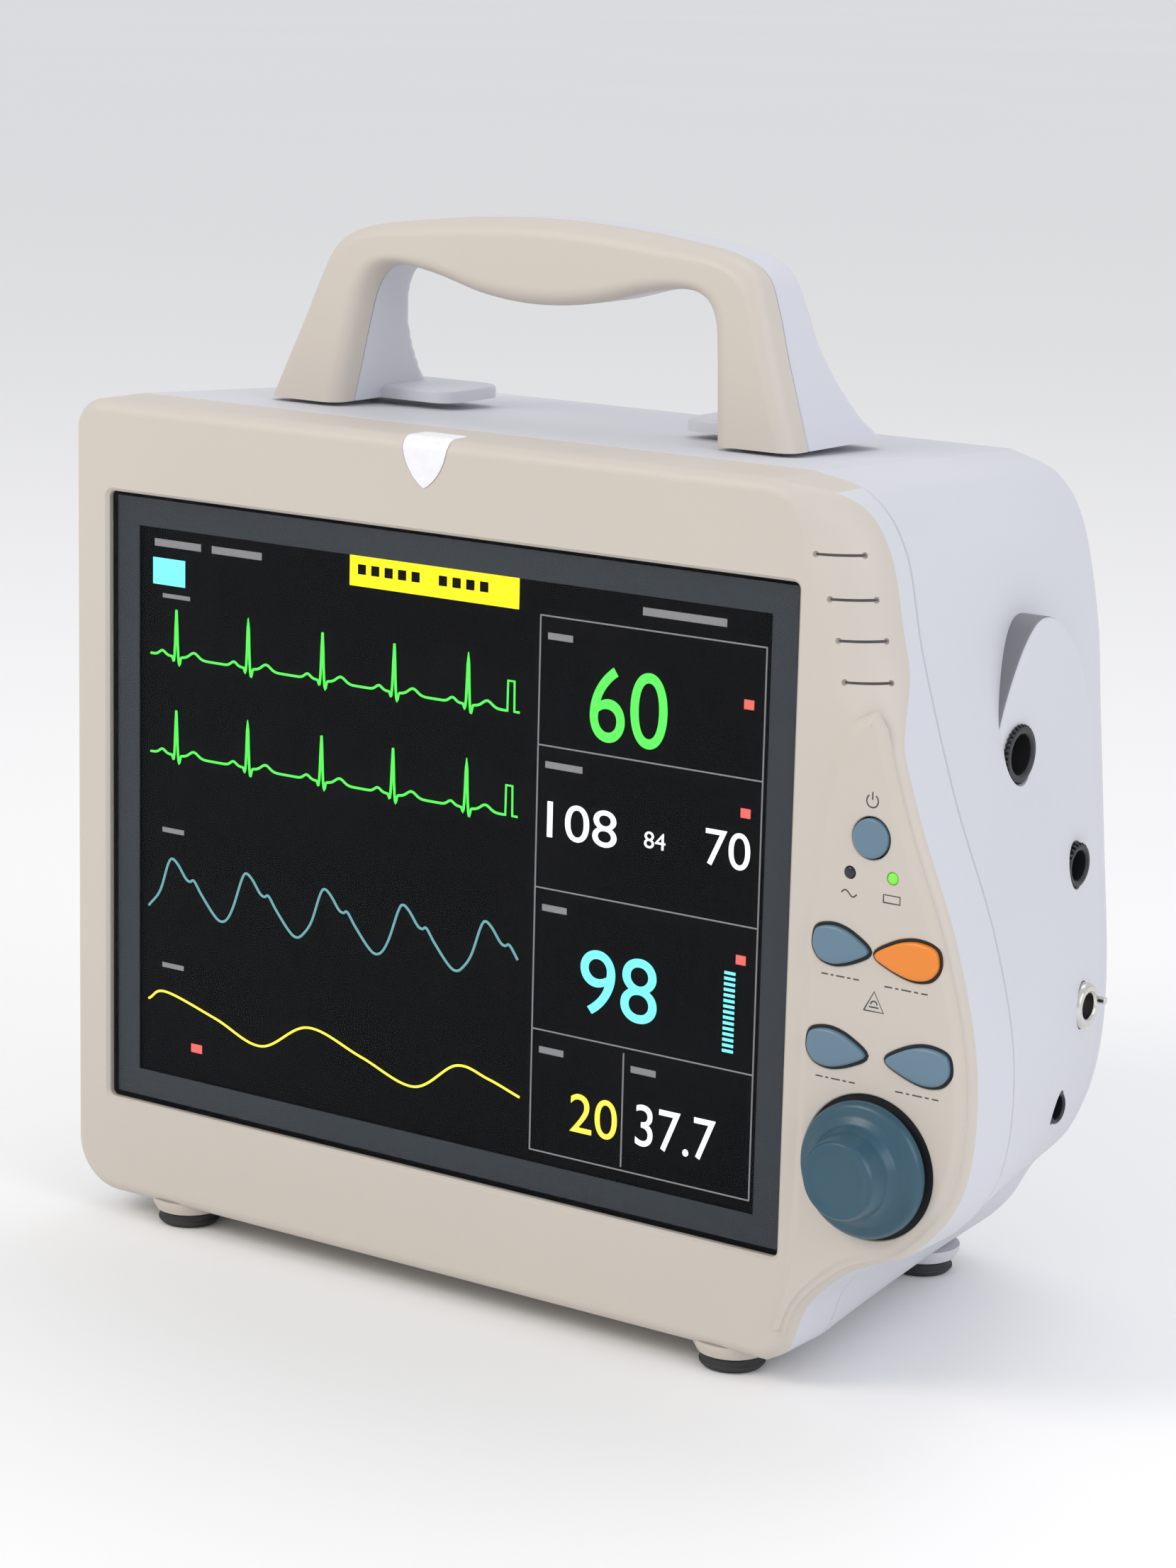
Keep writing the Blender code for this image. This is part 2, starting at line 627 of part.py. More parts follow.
def alarm_lens_rings(grow):
    """A drop-shaped lens that wraps over the top front edge; `grow` adds a clearance."""
    half = LENS_WIDTH / 2.0 + grow
    tip = TOP - LENS_DROP - grow
    top = TOP + LENS_PROUD
    centre = WINDOW_X - 3.1 * MM
    bend = EDGE_RADIUS + LENS_PROUD
    side = [(-1.0, 0.0), (-0.98, 0.25), (-0.78, 0.55), (-0.42, 0.83), (0.0, 1.0)]
    drop = [(s * half, d) for s, d in side] + [(-s * half, d) for s, d in side[-2::-1]]
    rings = []
    for y in (FRONT - LENS_PROUD - grow, FRONT + LENS_DEPTH + grow):
        rings.append([(centre + x, y, top - d * (top - tip)) for x, d in drop])
    face, back = rings
    bevelled = [(x, y, min(z, top - 0.30 * bend)) for x, y, z in face]
    shoulder = [(x, y + 0.30 * bend, min(z, top)) for x, y, z in face]
    if grow:
        lifted = 2.0 * MM
        return [[(x, y, z + lifted if z > top - 1.0 * MM else z) for x, y, z in face],
                [(x, y, z + lifted if z > top - 1.0 * MM else z) for x, y, z in back]]
    return [bevelled, shoulder, back]


def alarm_lamp(finishes):
    loft("alarm_lens", alarm_lens_rings(0.0), finishes["lens"])
    y = FRONT + LENS_DEPTH + 1.0 * MM
    centre = WINDOW_X - 3.1 * MM
    low_z = WINDOW_TOP + 2.0 * MM
    block("alarm_board", (centre - 12.0 * MM, y, low_z),
          (centre + 12.0 * MM, y + BOARD, TOP - WALL - 1.5 * MM), finishes["board"])


# ---------------------------------------------------------------- screen stack

def screen_stack(finishes):
    """Window, printed mask, LCD panel, its bracket and the backlight inverter, front to back."""
    y = FRONT + 0.8 * MM
    prism("display_window", "Y", rounded_box((WINDOW_LEFT, WINDOW_BOTTOM),
                                             (WINDOW_RIGHT, WINDOW_TOP), 4.0 * MM, 3),
          y, y + 2.0 * MM, finishes["glass"])
    y += 2.0 * MM + GAP
    edge = 1.0 * MM
    mask = block("window_mask", (WINDOW_LEFT + edge, y, WINDOW_BOTTOM + edge),
                 (WINDOW_RIGHT - edge, y + 0.5 * MM, WINDOW_TOP - edge), finishes["slate"])
    opening = 0.6 * MM
    half_x, half_z = DISPLAY_WIDTH / 2.0 + opening, DISPLAY_HEIGHT / 2.0 + opening
    cut(mask, block("mask_opening", (WINDOW_X - half_x, y - MM, WINDOW_Z - half_z),
                    (WINDOW_X + half_x, y + 2.0 * MM, WINDOW_Z + half_z)))
    y += 0.5 * MM + GAP
    edge = 3.0 * MM
    block("lcd_panel", (WINDOW_LEFT + edge, y, WINDOW_BOTTOM + edge),
          (WINDOW_RIGHT - edge, y + 7.0 * MM, WINDOW_TOP - edge), finishes["screen"])
    y += 7.0 * MM + GAP
    bracket = block("lcd_bracket", (WINDOW_LEFT + edge, y, WINDOW_BOTTOM + edge),
                    (WINDOW_RIGHT - edge, y + SHEET, WINDOW_TOP - edge), finishes["steel"])
    cut(bracket, block("bracket_opening", (WINDOW_LEFT + 24.0 * MM, y - MM, WINDOW_BOTTOM + 24.0 * MM),
                       (WINDOW_RIGHT - 24.0 * MM, y + 3.0 * MM, WINDOW_TOP - 24.0 * MM)))
    y += SHEET + GAP
    inverter = block("backlight_inverter", (WINDOW_LEFT + 8.0 * MM, y, WINDOW_BOTTOM + 5.0 * MM),
                     (WINDOW_X, y + BOARD, WINDOW_BOTTOM + 21.0 * MM), finishes["board"])
    for number in range(3):
        x = WINDOW_LEFT + (14.0 + 26.0 * number) * MM
        join(inverter, block(f"coil_{number}", (x, y + MM, WINDOW_BOTTOM + 8.0 * MM),
                             (x + 12.0 * MM, y + BOARD + 3.5 * MM, WINDOW_BOTTOM + 18.0 * MM)))


# ---------------------------------------------------------------- keys, knob, lamps

# Leaf outline of a key, wide end at the left: share of its length, share of its height
KEY_LEAF = [(0.0, 0.1), (0.05, 0.72), (0.22, 0.97), (0.45, 0.98), (0.72, 0.66), (1.0, -0.05),
            (0.76, -0.62), (0.42, -0.98), (0.16, -0.86), (0.03, -0.4)]
KEY_HALF_HEIGHT = 4.9 * MM
KEY_LIP = 1.0 * MM
# name, finish, centre's distance right of the window, share of the height, length, mirrored
KEYS = [("freeze_key", "blue", 17.2, 0.5005, 16.3, False),
        ("silence_key", "orange", 36.6, 0.4990, 18.5, True),
        ("record_key", "blue", 16.9, 0.3840, 17.2, False),
        ("menu_key", "blue", 41.0, 0.3845, 18.5, True)]
POWER_AT = (WINDOW_RIGHT + 24.7 * MM, level(0.6253))
LEDS = [("mains_led_lens", "led_dark", (WINDOW_RIGHT + 18.9 * MM, level(0.5837))),
        ("battery_led_lens", "led_green", (WINDOW_RIGHT + 31.4 * MM, level(0.5850)))]
KNOB_AT = (WINDOW_RIGHT + 27.4 * MM, level(0.2575))
KEY_BACK = MAT_FACE - KEY_TRAVEL - GAP


def key_centre(right, share):
    return Vector((WINDOW_RIGHT + right * MM, level(share)))


def key_outline(centre, length, mirrored, grow=0.0):
    """The leaf outline about its centre, grown outward by a clearance."""
    sign = -1.0 if mirrored else 1.0
    points = [(centre.x + sign * (u - 0.5) * length, centre.y + v * KEY_HALF_HEIGHT)
              for u, v in KEY_LEAF]
    ring = smooth_path(points + points[:1], 2)[:-1]
    if not mirrored:
        ring = ring[::-1]
    return inset(ring, -grow)


def key_axis(centre):
    return (centre[0], POD_FACE, centre[1])


def keys(front, finishes):
    """Each key is a cap, a hidden flange that keeps it in, and a stem to its switch."""
    flange_front = INNER_FRONT + GAP
    flange_back = flange_front + KEY_FLANGE
    lip = KEY_HALF_HEIGHT + KEY_GAP + KEY_LIP
    for name, colour, right, share, length_mm, mirrored in KEYS:
        centre, length = key_centre(right, share), length_mm * MM
        origin = key_axis(centre)
        key = prism(name, "Y", key_outline(centre, length, mirrored), POD_FACE - KEY_RISE,
                    flange_back, finishes[colour], origin)
        join(key, block(name + "_flange", (centre.x - 0.15 * length, flange_front, centre.y - lip),
                        (centre.x + 0.15 * length, flange_back, centre.y + lip)))
        join(key, block(name + "_stem", (centre.x - 2.0 * MM, flange_back - 0.5 * MM, centre.y - 2.0 * MM),
                        (centre.x + 2.0 * MM, KEY_BACK, centre.y + 2.0 * MM)))
        cut(front, prism(name + "_hole", "Y", key_outline(centre, length, mirrored, KEY_GAP),
                         POD_FACE - MM, flange_back + KEY_TRAVEL + GAP))
    turned("power_button", "Y", POWER_AT,
           [(POWER_RADIUS - 0.5 * MM, POD_FACE - 1.0 * MM), (POWER_RADIUS, POD_FACE - 0.5 * MM),
            (POWER_RADIUS, flange_front), (POWER_RADIUS + 1.4 * MM, flange_front),
            (POWER_RADIUS + 1.4 * MM, flange_back), (2.0 * MM, flange_back), (2.0 * MM, KEY_BACK)],
           finishes["blue"], 28, key_axis(POWER_AT))
    cut(front, turned("power_hole", "Y", POWER_AT,
                      [(POWER_RADIUS + SLIDE_GAP, POD_FACE - MM),
                       (POWER_RADIUS + SLIDE_GAP, INNER_FRONT + MM)], sides=28))
    for name, colour, place in LEDS:
        turned(name, "Y", place,
               [(LED_RADIUS, POD_FACE - 0.2 * MM), (LED_RADIUS, INNER_FRONT + 4.0 * MM)],
               finishes[colour], 12)
        cut(front, turned(name + "_hole", "Y", place,
                          [(LED_RADIUS + GAP, POD_FACE - MM), (LED_RADIUS + GAP, INNER_FRONT + MM)],
                          sides=12))


def knob(front, finishes):
    """Push-and-turn knob on its shaft; the shaft's collar slides in the encoder body."""
    floor = POD_FACE + KNOB_RECESS
    back = POD_FACE - KNOB_TRAVEL - KNOB_CLEAR
    tip = FRONT - KNOB_REACH
    rise = back - tip
    steps = [(1.0, 0.0), (1.0, 0.16), (0.945, 0.23), (0.78, 0.28), (0.667, 0.40), (0.61, 0.60),
             (0.583, 0.80), (0.517, 0.945), (0.40, 1.0), (0.22, 0.965), (0.03, 0.95)]
    origin = (KNOB_AT[0], back, KNOB_AT[1])
    cap = turned("control_knob", "Y", KNOB_AT,
                 [(KNOB_RADIUS * r, back - rise * h) for r, h in steps], finishes["teal"], 32, origin)
    socket_end = tip + 5.0 * MM
    cut(cap, turned("knob_bore", "Y", KNOB_AT, [(SHAFT_RADIUS + GAP, socket_end),
                                                (SHAFT_RADIUS + GAP, back + MM)], sides=16))
    shaft_end = BOARD_FACE - 2.0 * MM
    turned("encoder_shaft", "Y", KNOB_AT, [(SHAFT_RADIUS, socket_end + GAP),
                                           (SHAFT_RADIUS, shaft_end - KNOB_TRAVEL)],
           finishes["nickel"], 16, origin)
    body_front, body_back = INNER_FRONT + GAP, MAT_FACE - GAP
    x, z = KNOB_AT
    half = ENCODER_SIDE / 2.0
    bore = SHAFT_RADIUS + 1.7 * MM
    body = block("encoder_body", (x - half, body_front, z - half), (x + half, body_back, z + half),
                 finishes["black"])
    cut(body, turned("encoder_bore", "Y", KNOB_AT, [(bore, body_front - MM), (bore, body_back + MM)],
                     sides=20))
    tube("encoder_collar", "Y", KNOB_AT,
         [(bore - GAP, body_front + 1.0 * MM), (bore - GAP, body_back - 1.0 * MM),
          (SHAFT_RADIUS + GAP, body_back - 1.0 * MM), (SHAFT_RADIUS + GAP, body_front + 1.0 * MM)],
         finishes["nickel"], 20, origin)
    cut(front, turned("knob_recess", "Y", KNOB_AT,
                      [(KNOB_RADIUS + 1.2 * MM, POD_FACE - MM), (KNOB_RADIUS + 1.2 * MM, floor)],
                      sides=32))
    cut(front, turned("shaft_hole", "Y", KNOB_AT, [(SHAFT_RADIUS + SLIDE_GAP, floor - MM),
                                                   (SHAFT_RADIUS + SLIDE_GAP, INNER_FRONT + MM)],
                      sides=16))


def key_board_outline(edge):
    """Outline of the mat and board behind the keys, kept inside the housing's side."""
    inner = inset(OUTLINE, WALL + 3.0 * MM + edge)
    low, high = level(0.15), level(0.70)
    side = [p for p in inner if p.x > WINDOW_RIGHT + 12.0 * MM and low < p.y < high]
    left = WINDOW_RIGHT + 3.0 * MM + edge
    return [Vector((left, side[0].y))] + side + [Vector((left, side[-1].y))]


def key_board(finishes):
    mat = prism("key_seal", "Y", key_board_outline(1.0 * MM), MAT_FACE, MAT_FACE + 1.2 * MM,
                finishes["seal"])
    board = prism("keypad_board", "Y", key_board_outline(0.0), BOARD_FACE, BOARD_FACE + BOARD,
                  finishes["board"])
    bore = SHAFT_RADIUS + 2.0 * MM
    for piece in (mat, board):
        cut(piece, turned(piece.name + "_hole", "Y", KNOB_AT,
                          [(bore, MAT_FACE - MM), (bore, BOARD_FACE + 2.0 * BOARD)], sides=16))


# ---------------------------------------------------------------- right-side connector panel

# Outline of the raised leaf around the upper socket: distance behind the parting line, share
PANEL_LEAF = [(55.0, 0.824), (46.0, 0.798), (37.0, 0.738), (32.0, 0.678), (30.5, 0.614),
              (32.0, 0.55), (43.0, 0.485), (63.0, 0.45), (80.0, 0.475), (87.0, 0.56),
              (86.0, 0.67), (78.0, 0.76), (66.0, 0.812)]
ECG_AT = (behind(43.0), level(0.676))
SPO2_AT = (behind(77.0), level(0.5215))
NIBP_AT = (behind(77.0), level(0.356))
TEMP_AT = (behind(61.0), level(0.249))
BOARD_BEHIND_SOCKETS = 3.3 * MM


def side_panel(name, low, high):
    points = [(behind(back), level(share)) for back, share in PANEL_LEAF]
    return prism(name, "X", smooth_path(points + points[:1], 2)[:-1], low, high)


def shell_side(y, z):
    """X of the rear shell's right side at a depth and height."""
    section = blend(OUTLINE, REAR_OUTLINE, (y - PARTING) / (REAR - REAR_RADIUS - PARTING))
    side = [p for p in section if p.x > WINDOW_X]
    for low, high in zip(side, side[1:]):
        if low.y <= z <= high.y:
            return low.x + (high.x - low.x) * (z - low.y) / (high.y - low.y)
    return PANEL_FACE


def seat_of(place, radius):
    """X of a flat seat for a round socket, just below the lowest shell point under it."""
    y, z = place
    around = [(y + a * radius, z + b * radius) for a, b in ((1, 0), (-1, 0), (0, 1), (0, -1))]
    shell = min(shell_side(*spot) for spot in around)
    return shell - 0.3 * MM if place != ECG_AT else PANEL_FACE


def socket(rear, name, place, radius, pocket, depth, flange, finish):
    """A round socket with a flange on its seat and a pocket that opens to the right."""
    seat = seat_of(place, radius)
    back = seat - SOCKET_DEPTH
    face = seat + flange
    barrel = radius - 1.2 * MM
    turned(name, "X", place,
           [(pocket, back), (barrel, back), (barrel, seat + GAP), (radius, seat + GAP),
            (radius, face - 0.4 * MM), (radius - 0.4 * MM, face), (pocket, face),
            (pocket, face - depth)], finish, 20)
    cut(rear, turned(name + "_seat", "X", place, [(radius + GAP, seat), (radius + GAP, RIGHT)],
                     sides=20))
    cut(rear, turned(name + "_hole", "X", place,
                     [(barrel + GAP, back - MM), (barrel + GAP, seat + MM)], sides=20))
    return face - depth


def contacts(name, place, floor, pitch, count, finish):
    """Contact pins in a ring, on a small disc at the pocket's floor."""
    floor += GAP
    disc = turned(name, "X", place, [(pitch + 0.4 * MM, floor), (pitch + 0.4 * MM, floor + 0.6 * MM)],
                  finish, 12)
    for number, spot in enumerate(circle(place, pitch - 0.4 * MM, count)):
        join(disc, turned(f"{name}_{number}", "X", spot,
                          [(0.5 * MM, floor + 0.3 * MM), (0.5 * MM, floor + 4.5 * MM)], sides=6))


def sockets(rear, finishes):
    floor = socket(rear, "ecg_socket", ECG_AT, ECG_RADIUS, ECG_RADIUS - 2.6 * MM, 10.0 * MM,
                   1.5 * MM, finishes["socket"])
    contacts("ecg_contacts", ECG_AT, floor, 3.6 * MM, 6, finishes["gold"])
    floor = socket(rear, "spo2_socket", SPO2_AT, SPO2_RADIUS, SPO2_RADIUS - 2.2 * MM, 11.5 * MM,
                   3.0 * MM, finishes["socket"])
    contacts("spo2_contacts", SPO2_AT, floor, 2.6 * MM, 5, finishes["gold"])
    socket(rear, "nibp_port", NIBP_AT, NIBP_RADIUS, NIBP_RADIUS - 2.8 * MM, 13.5 * MM, 4.5 * MM,
           finishes["nickel"])
    socket(rear, "temperature_jack", TEMP_AT, TEMP_RADIUS, TEMP_RADIUS - 1.4 * MM, 12.2 * MM,
           2.2 * MM, finishes["socket"])


# ---------------------------------------------------------------- rear connectors

INLET_AT = (LEFT + 64.0 * MM, level(0.16))
INLET_SIZE = (31.0 * MM, 24.0 * MM)
INLET_POCKET = (25.0 * MM, 17.5 * MM)
NETWORK_AT = (LEFT + 104.0 * MM, level(0.16))
NETWORK_SIZE = (17.0 * MM, 15.0 * MM)
NETWORK_POCKET = (12.0 * MM, 9.0 * MM)
GROUND_AT = (LEFT + 130.0 * MM, level(0.16))


def rear_box(rear, name, place, size, pocket, depth, finish):
    """A rectangular connector set in the rear wall, open to the rear."""
    x, z = place
    front, back = REAR - depth - 3.0 * MM, REAR - 0.5 * MM
    body = block(name, (x - size[0] / 2.0, front, z - size[1] / 2.0),
                 (x + size[0] / 2.0, back, z + size[1] / 2.0), finish)
    cut(body, block(name + "_pocket", (x - pocket[0] / 2.0, back - depth, z - pocket[1] / 2.0),
                    (x + pocket[0] / 2.0, back + MM, z + pocket[1] / 2.0)))
    cut(rear, block(name + "_hole", (x - size[0] / 2.0 - GAP, INNER_REAR - MM, z - size[1] / 2.0 - GAP),
                    (x + size[0] / 2.0 + GAP, REAR + MM, z + size[1] / 2.0 + GAP)))


def rear_connectors(rear, finishes):
    rear_box(rear, "power_inlet", INLET_AT, INLET_SIZE, INLET_POCKET, 17.0 * MM, finishes["black"])
    rear_box(rear, "network_port", NETWORK_AT, NETWORK_SIZE, NETWORK_POCKET, 12.0 * MM,
             finishes["nickel"])
    floor = REAR - 17.5 * MM + GAP
    x, z = INLET_AT
    carrier = block("inlet_blades", (x - 9.0 * MM, floor, z - 5.0 * MM),
                    (x + 9.0 * MM, floor + MM, z + 5.0 * MM), finishes["nickel"])
    for number, (right, up) in enumerate(((-7.0, -2.0), (0.0, 2.0), (7.0, -2.0))):
        spot = (x + right * MM, z + up * MM)
        join(carrier, block(f"blade_{number}", (spot[0] - MM, floor + 0.5 * MM, spot[1] - 2.0 * MM),
                            (spot[0] + MM, floor + 12.0 * MM, spot[1] + 2.0 * MM)))
    turned("ground_post", "Y", GROUND_AT,
           [(4.0 * MM, INNER_REAR - 4.0 * MM), (4.0 * MM, INNER_REAR - GAP),
            (3.0 * MM, INNER_REAR - GAP), (3.0 * MM, REAR - GAP)], finishes["nickel"], 16)
    cut(rear, turned("ground_hole", "Y", GROUND_AT,
                     [(3.0 * MM + GAP, INNER_REAR - MM), (3.0 * MM + GAP, REAR + MM)], sides=16))


# ---------------------------------------------------------------- battery and its door

# The door's start and length follow the housing's depth
DOOR_FRONT = PARTING + 38.0 / 136.0 * HOUSING_DEPTH
DOOR_LENGTH = 52.0 / 136.0 * HOUSING_DEPTH
DOOR_LOW = BOTTOM + 17.0 * MM
DOOR_HIGH = DOOR_LOW + BATTERY_HEIGHT + 8.0 * MM
DOOR_HINGE = (left_side(DOOR_FRONT + DOOR_LENGTH), DOOR_FRONT + DOOR_LENGTH + 0.2 * MM)


def door_outline(name, grow, outside, depth, finish=None, origin=(0.0, 0.0, 0.0)):
    """The door's slab along the leaning left side; `outside` limits it on the outer side."""
    front, back = DOOR_FRONT - grow, DOOR_FRONT + DOOR_LENGTH + grow
    outline = [(max(outside, left_side(front)) if finish else outside, front),
               (left_side(front) + depth, front), (left_side(back) + depth, back),
               (left_side(back) if finish else outside, back)]
    return prism(name, "Z", outline, DOOR_LOW - grow, DOOR_HIGH + grow, finish, origin)


def battery(finishes):
    hinge = (DOOR_HINGE[0], DOOR_HINGE[1], DOOR_LOW)
    door_outline("battery_door", 0.0, LEFT - 1.0, WALL, finishes["white"], hinge)
    x = left_side(DOOR_FRONT + DOOR_LENGTH) + WALL + BATTERY_CLEAR
    y = DOOR_FRONT + (DOOR_LENGTH - BATTERY_WIDTH) / 2.0
    z = DOOR_LOW + 4.0 * MM
    block("battery_pack", (x, y, z), (x + BATTERY_LENGTH, y + BATTERY_WIDTH, z + BATTERY_HEIGHT),
          finishes["black"])


# ---------------------------------------------------------------- inside

CHASSIS_FRONT = PARTING + 9.0 * MM
BOARD_STAND = 5.0 * MM
MAIN_BOARD_SIZE = (190.0 * MM, 140.0 * MM)


def board_with_parts(name, low, high, parts, finish):
    """A circuit board in the XZ plane with a few component blocks on its rear face."""
    board = block(name, low, high, finish)
    for number, (x, z, wide, tall, deep) in enumerate(parts):
        corner = (low[0] + x * MM, high[1] - 0.5 * MM, low[2] + z * MM)
        join(board, block(f"{name}_part_{number}", corner,
                          (corner[0] + wide * MM, high[1] + deep * MM, corner[2] + tall * MM)))
    return board


def inside(finishes):
    """Chassis, boards, supply, pump, valve and speaker, placed from the cavity's walls."""
    half_x = min(MAIN_BOARD_SIZE[0], WINDOW_WIDTH - 30.0 * MM) / 2.0
    half_z = min(MAIN_BOARD_SIZE[1], WINDOW_HEIGHT - 30.0 * MM) / 2.0
    left, right = WINDOW_X - half_x - 3.0 * MM, WINDOW_X + half_x + 3.0 * MM
    floor = BOTTOM + WALL + 4.0 * MM
    chassis = block("chassis_frame", (left, CHASSIS_FRONT, floor),
                    (right, CHASSIS_FRONT + SHEET, WINDOW_Z + half_z + 8.0 * MM),
                    finishes["steel"])
    join(chassis, block("chassis_foot", (left, CHASSIS_FRONT, floor),
                        (right, CHASSIS_FRONT + 24.0 * MM, floor + SHEET)))
    board_y = CHASSIS_FRONT + SHEET + BOARD_STAND
    low_z = WINDOW_Z - half_z + 8.0 * MM
    board_with_parts("main_board", (WINDOW_X - half_x, board_y, low_z),
                     (WINDOW_X + half_x, board_y + BOARD, WINDOW_Z + half_z),
                     [(20, 30, 30, 30, 3), (70, 60, 24, 24, 2), (20, 80, 40, 12, 6)],
                     finishes["board"])
    behind = board_y + BOARD + 8.0 * MM
    supply_low = DOOR_HIGH + 12.0 * MM
    block("power_supply", (left_side(REAR) + WALL + 8.0 * MM, behind, supply_low),
          (left_side(REAR) + WALL + 78.0 * MM, INNER_REAR - 8.0 * MM, supply_low + 95.0 * MM),
          finishes["steel"])
    pump_x = left_side(DOOR_FRONT) + WALL + 3.0 * MM + BATTERY_LENGTH + 40.0 * MM
    pump_y = behind + 16.0 * MM
    turned("nibp_pump", "Z", (pump_x, pump_y), [(13.5 * MM, level(0.10)), (13.5 * MM, level(0.34))],
           finishes["nickel"], 20)
    block("nibp_valve", (pump_x + 20.0 * MM, pump_y - 10.0 * MM, level(0.12)),
          (pump_x + 40.0 * MM, pump_y + 10.0 * MM, level(0.25)), finishes["black"])
    turned("speaker", "Y", (WINDOW_X + 45.0 * MM, level(0.66)),
           [(12.0 * MM, INNER_REAR - 22.0 * MM), (12.0 * MM, INNER_REAR - 12.0 * MM),
            (25.0 * MM, INNER_REAR - 6.0 * MM), (25.0 * MM, INNER_REAR - 1.0 * MM)],
           finishes["black"], 24)
    seats = [seat_of(*one) for one in ((ECG_AT, ECG_RADIUS), (SPO2_AT, SPO2_RADIUS),
                                       (NIBP_AT, NIBP_RADIUS), (TEMP_AT, TEMP_RADIUS))]
    board_x = min(seats) - SOCKET_DEPTH - BOARD_BEHIND_SOCKETS
    block("parameter_board", (board_x - BOARD, behind, level(0.22)),
          (board_x, INNER_REAR - 10.0 * MM, level(0.76)), finishes["board"])


def housing_screws(finish):
    """Long-reach screws at the bottom of the four wells, holding the two shells together."""
    seat = PARTING + 4.0 * MM + 2.0 * GAP
    for number, place in enumerate(SCREW_PLACES):
        screw(f"housing_screw_{number + 1}", "Y", place, PARTING - 12.0 * MM, seat, 2.0 * MM, finish)


def main():
    for old in list(bpy.data.objects):
        bpy.data.objects.remove(old)
    finishes = make_finishes()
    front = front_housing(finishes["beige"])
    rear = rear_housing(finishes["white"])
    keys(front, finishes)
    knob(front, finishes)
    key_board(finishes)
    alarm_lamp(finishes)
    screen_stack(finishes)
    handle(finishes)
    handle_screw_holes(rear)
    sockets(rear, finishes)
    rear_connectors(rear, finishes)
    battery(finishes)
    inside(finishes)
    housing_screws(finishes["nickel"])
    mounting_plate(finishes)
    feet(finishes["foot"])


main()
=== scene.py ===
# %% [markdown]
# A bedside patient monitor
#
# The real object is a moulded case in two shells, with a screen, a strip of keys, a carrying
# handle and a row of patient sockets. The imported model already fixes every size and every
# joint, so this lesson only makes the surfaces fine: it reads the frame first, and then
# replaces one plain solid after another with a piece of the same size.

import math

import bmesh
import bpy
from mathutils import Matrix, Vector


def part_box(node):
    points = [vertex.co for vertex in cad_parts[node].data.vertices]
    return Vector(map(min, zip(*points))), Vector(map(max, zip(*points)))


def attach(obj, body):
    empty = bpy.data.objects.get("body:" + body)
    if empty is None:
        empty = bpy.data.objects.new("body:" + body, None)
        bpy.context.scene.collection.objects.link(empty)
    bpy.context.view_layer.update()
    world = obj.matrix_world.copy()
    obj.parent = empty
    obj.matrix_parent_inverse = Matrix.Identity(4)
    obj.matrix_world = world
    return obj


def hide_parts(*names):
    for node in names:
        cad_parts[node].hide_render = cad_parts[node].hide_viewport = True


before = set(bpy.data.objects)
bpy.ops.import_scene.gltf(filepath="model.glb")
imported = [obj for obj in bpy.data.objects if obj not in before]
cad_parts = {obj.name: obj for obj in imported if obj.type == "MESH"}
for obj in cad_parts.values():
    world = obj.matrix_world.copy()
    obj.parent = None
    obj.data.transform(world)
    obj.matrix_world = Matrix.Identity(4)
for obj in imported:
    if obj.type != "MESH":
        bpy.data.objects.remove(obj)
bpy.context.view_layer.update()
MM = 0.001


# %% [markdown]
# Every place below comes from the frame. A node's box gives its two corners, so the shells'
# edges, the window and the parting line are read once here and named.

# %% Named places, read from the nodes
def corners(node):
    low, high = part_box(node)
    return Vector(low), Vector(high)


window_low, window_high = corners("display_window")
front_low, front_high = corners("front_housing")
rear_low, rear_high = corners("rear_housing")
GAP, WALL, STRIP_HEIGHT = 0.3 * MM, 2.5 * MM, 0.8 * MM
HALF_GAP = GAP / 2
LEFT, RIGHT = rear_low.x, -rear_low.x
TOP, BOTTOM = front_high.z, corners("mounting_plate")[1].z + GAP
POD_FACE = front_low.y
FRONT = POD_FACE + STRIP_HEIGHT
PARTING = rear_low.y - HALF_GAP
REAR = rear_high.y
WINDOW_RIGHT = window_high.x
print("case", [round(v / MM, 1) for v in (LEFT, RIGHT, FRONT, REAR, BOTTOM, TOP)])


def level(share):
    """A height, as a share of the case's own height."""
    return BOTTOM + share * (TOP - BOTTOM)


def round_place(node, plane="xz", along="x"):
    """Centre of a round node in a plane, and its radius."""
    low, high = corners(node)
    centre = tuple((getattr(low, k) + getattr(high, k)) / 2 for k in plane)
    return centre, (getattr(high, along) - getattr(low, along)) / 2


# %% [markdown]
# Outlines are lists of points in a plane. A Catmull-Rom curve passes through the few points
# that a shape needs, arcs give round corners, and an inset moves an outline inward, which is
# how a fillet or a wall is made from one drawing.

# %% Outline helpers
def smooth_path(points, steps):
    points = [Vector(p) for p in points]
    padded = [2 * points[0] - points[1]] + points + [2 * points[-1] - points[-2]]
    path = []
    for i in range(len(points) - 1):
        a, b, c, d = padded[i:i + 4]
        for step in range(steps):
            t = step / steps
            bend = (2 * a - 5 * b + 4 * c - d) * t * t + (3 * b - a - 3 * c + d) * t ** 3
            path.append(b + 0.5 * ((c - a) * t + bend))
    path.append(points[-1])
    return path


def arc(centre, radius, start, end, steps):
    angles = [math.radians(start + (end - start) * i / steps) for i in range(steps + 1)]
    return [Vector((centre[0] + radius * math.cos(a), centre[1] + radius * math.sin(a)))
            for a in angles]


def circle(centre, radius, sides):
    return arc(centre, radius, 0.0, 360.0 - 360.0 / sides, sides - 1)


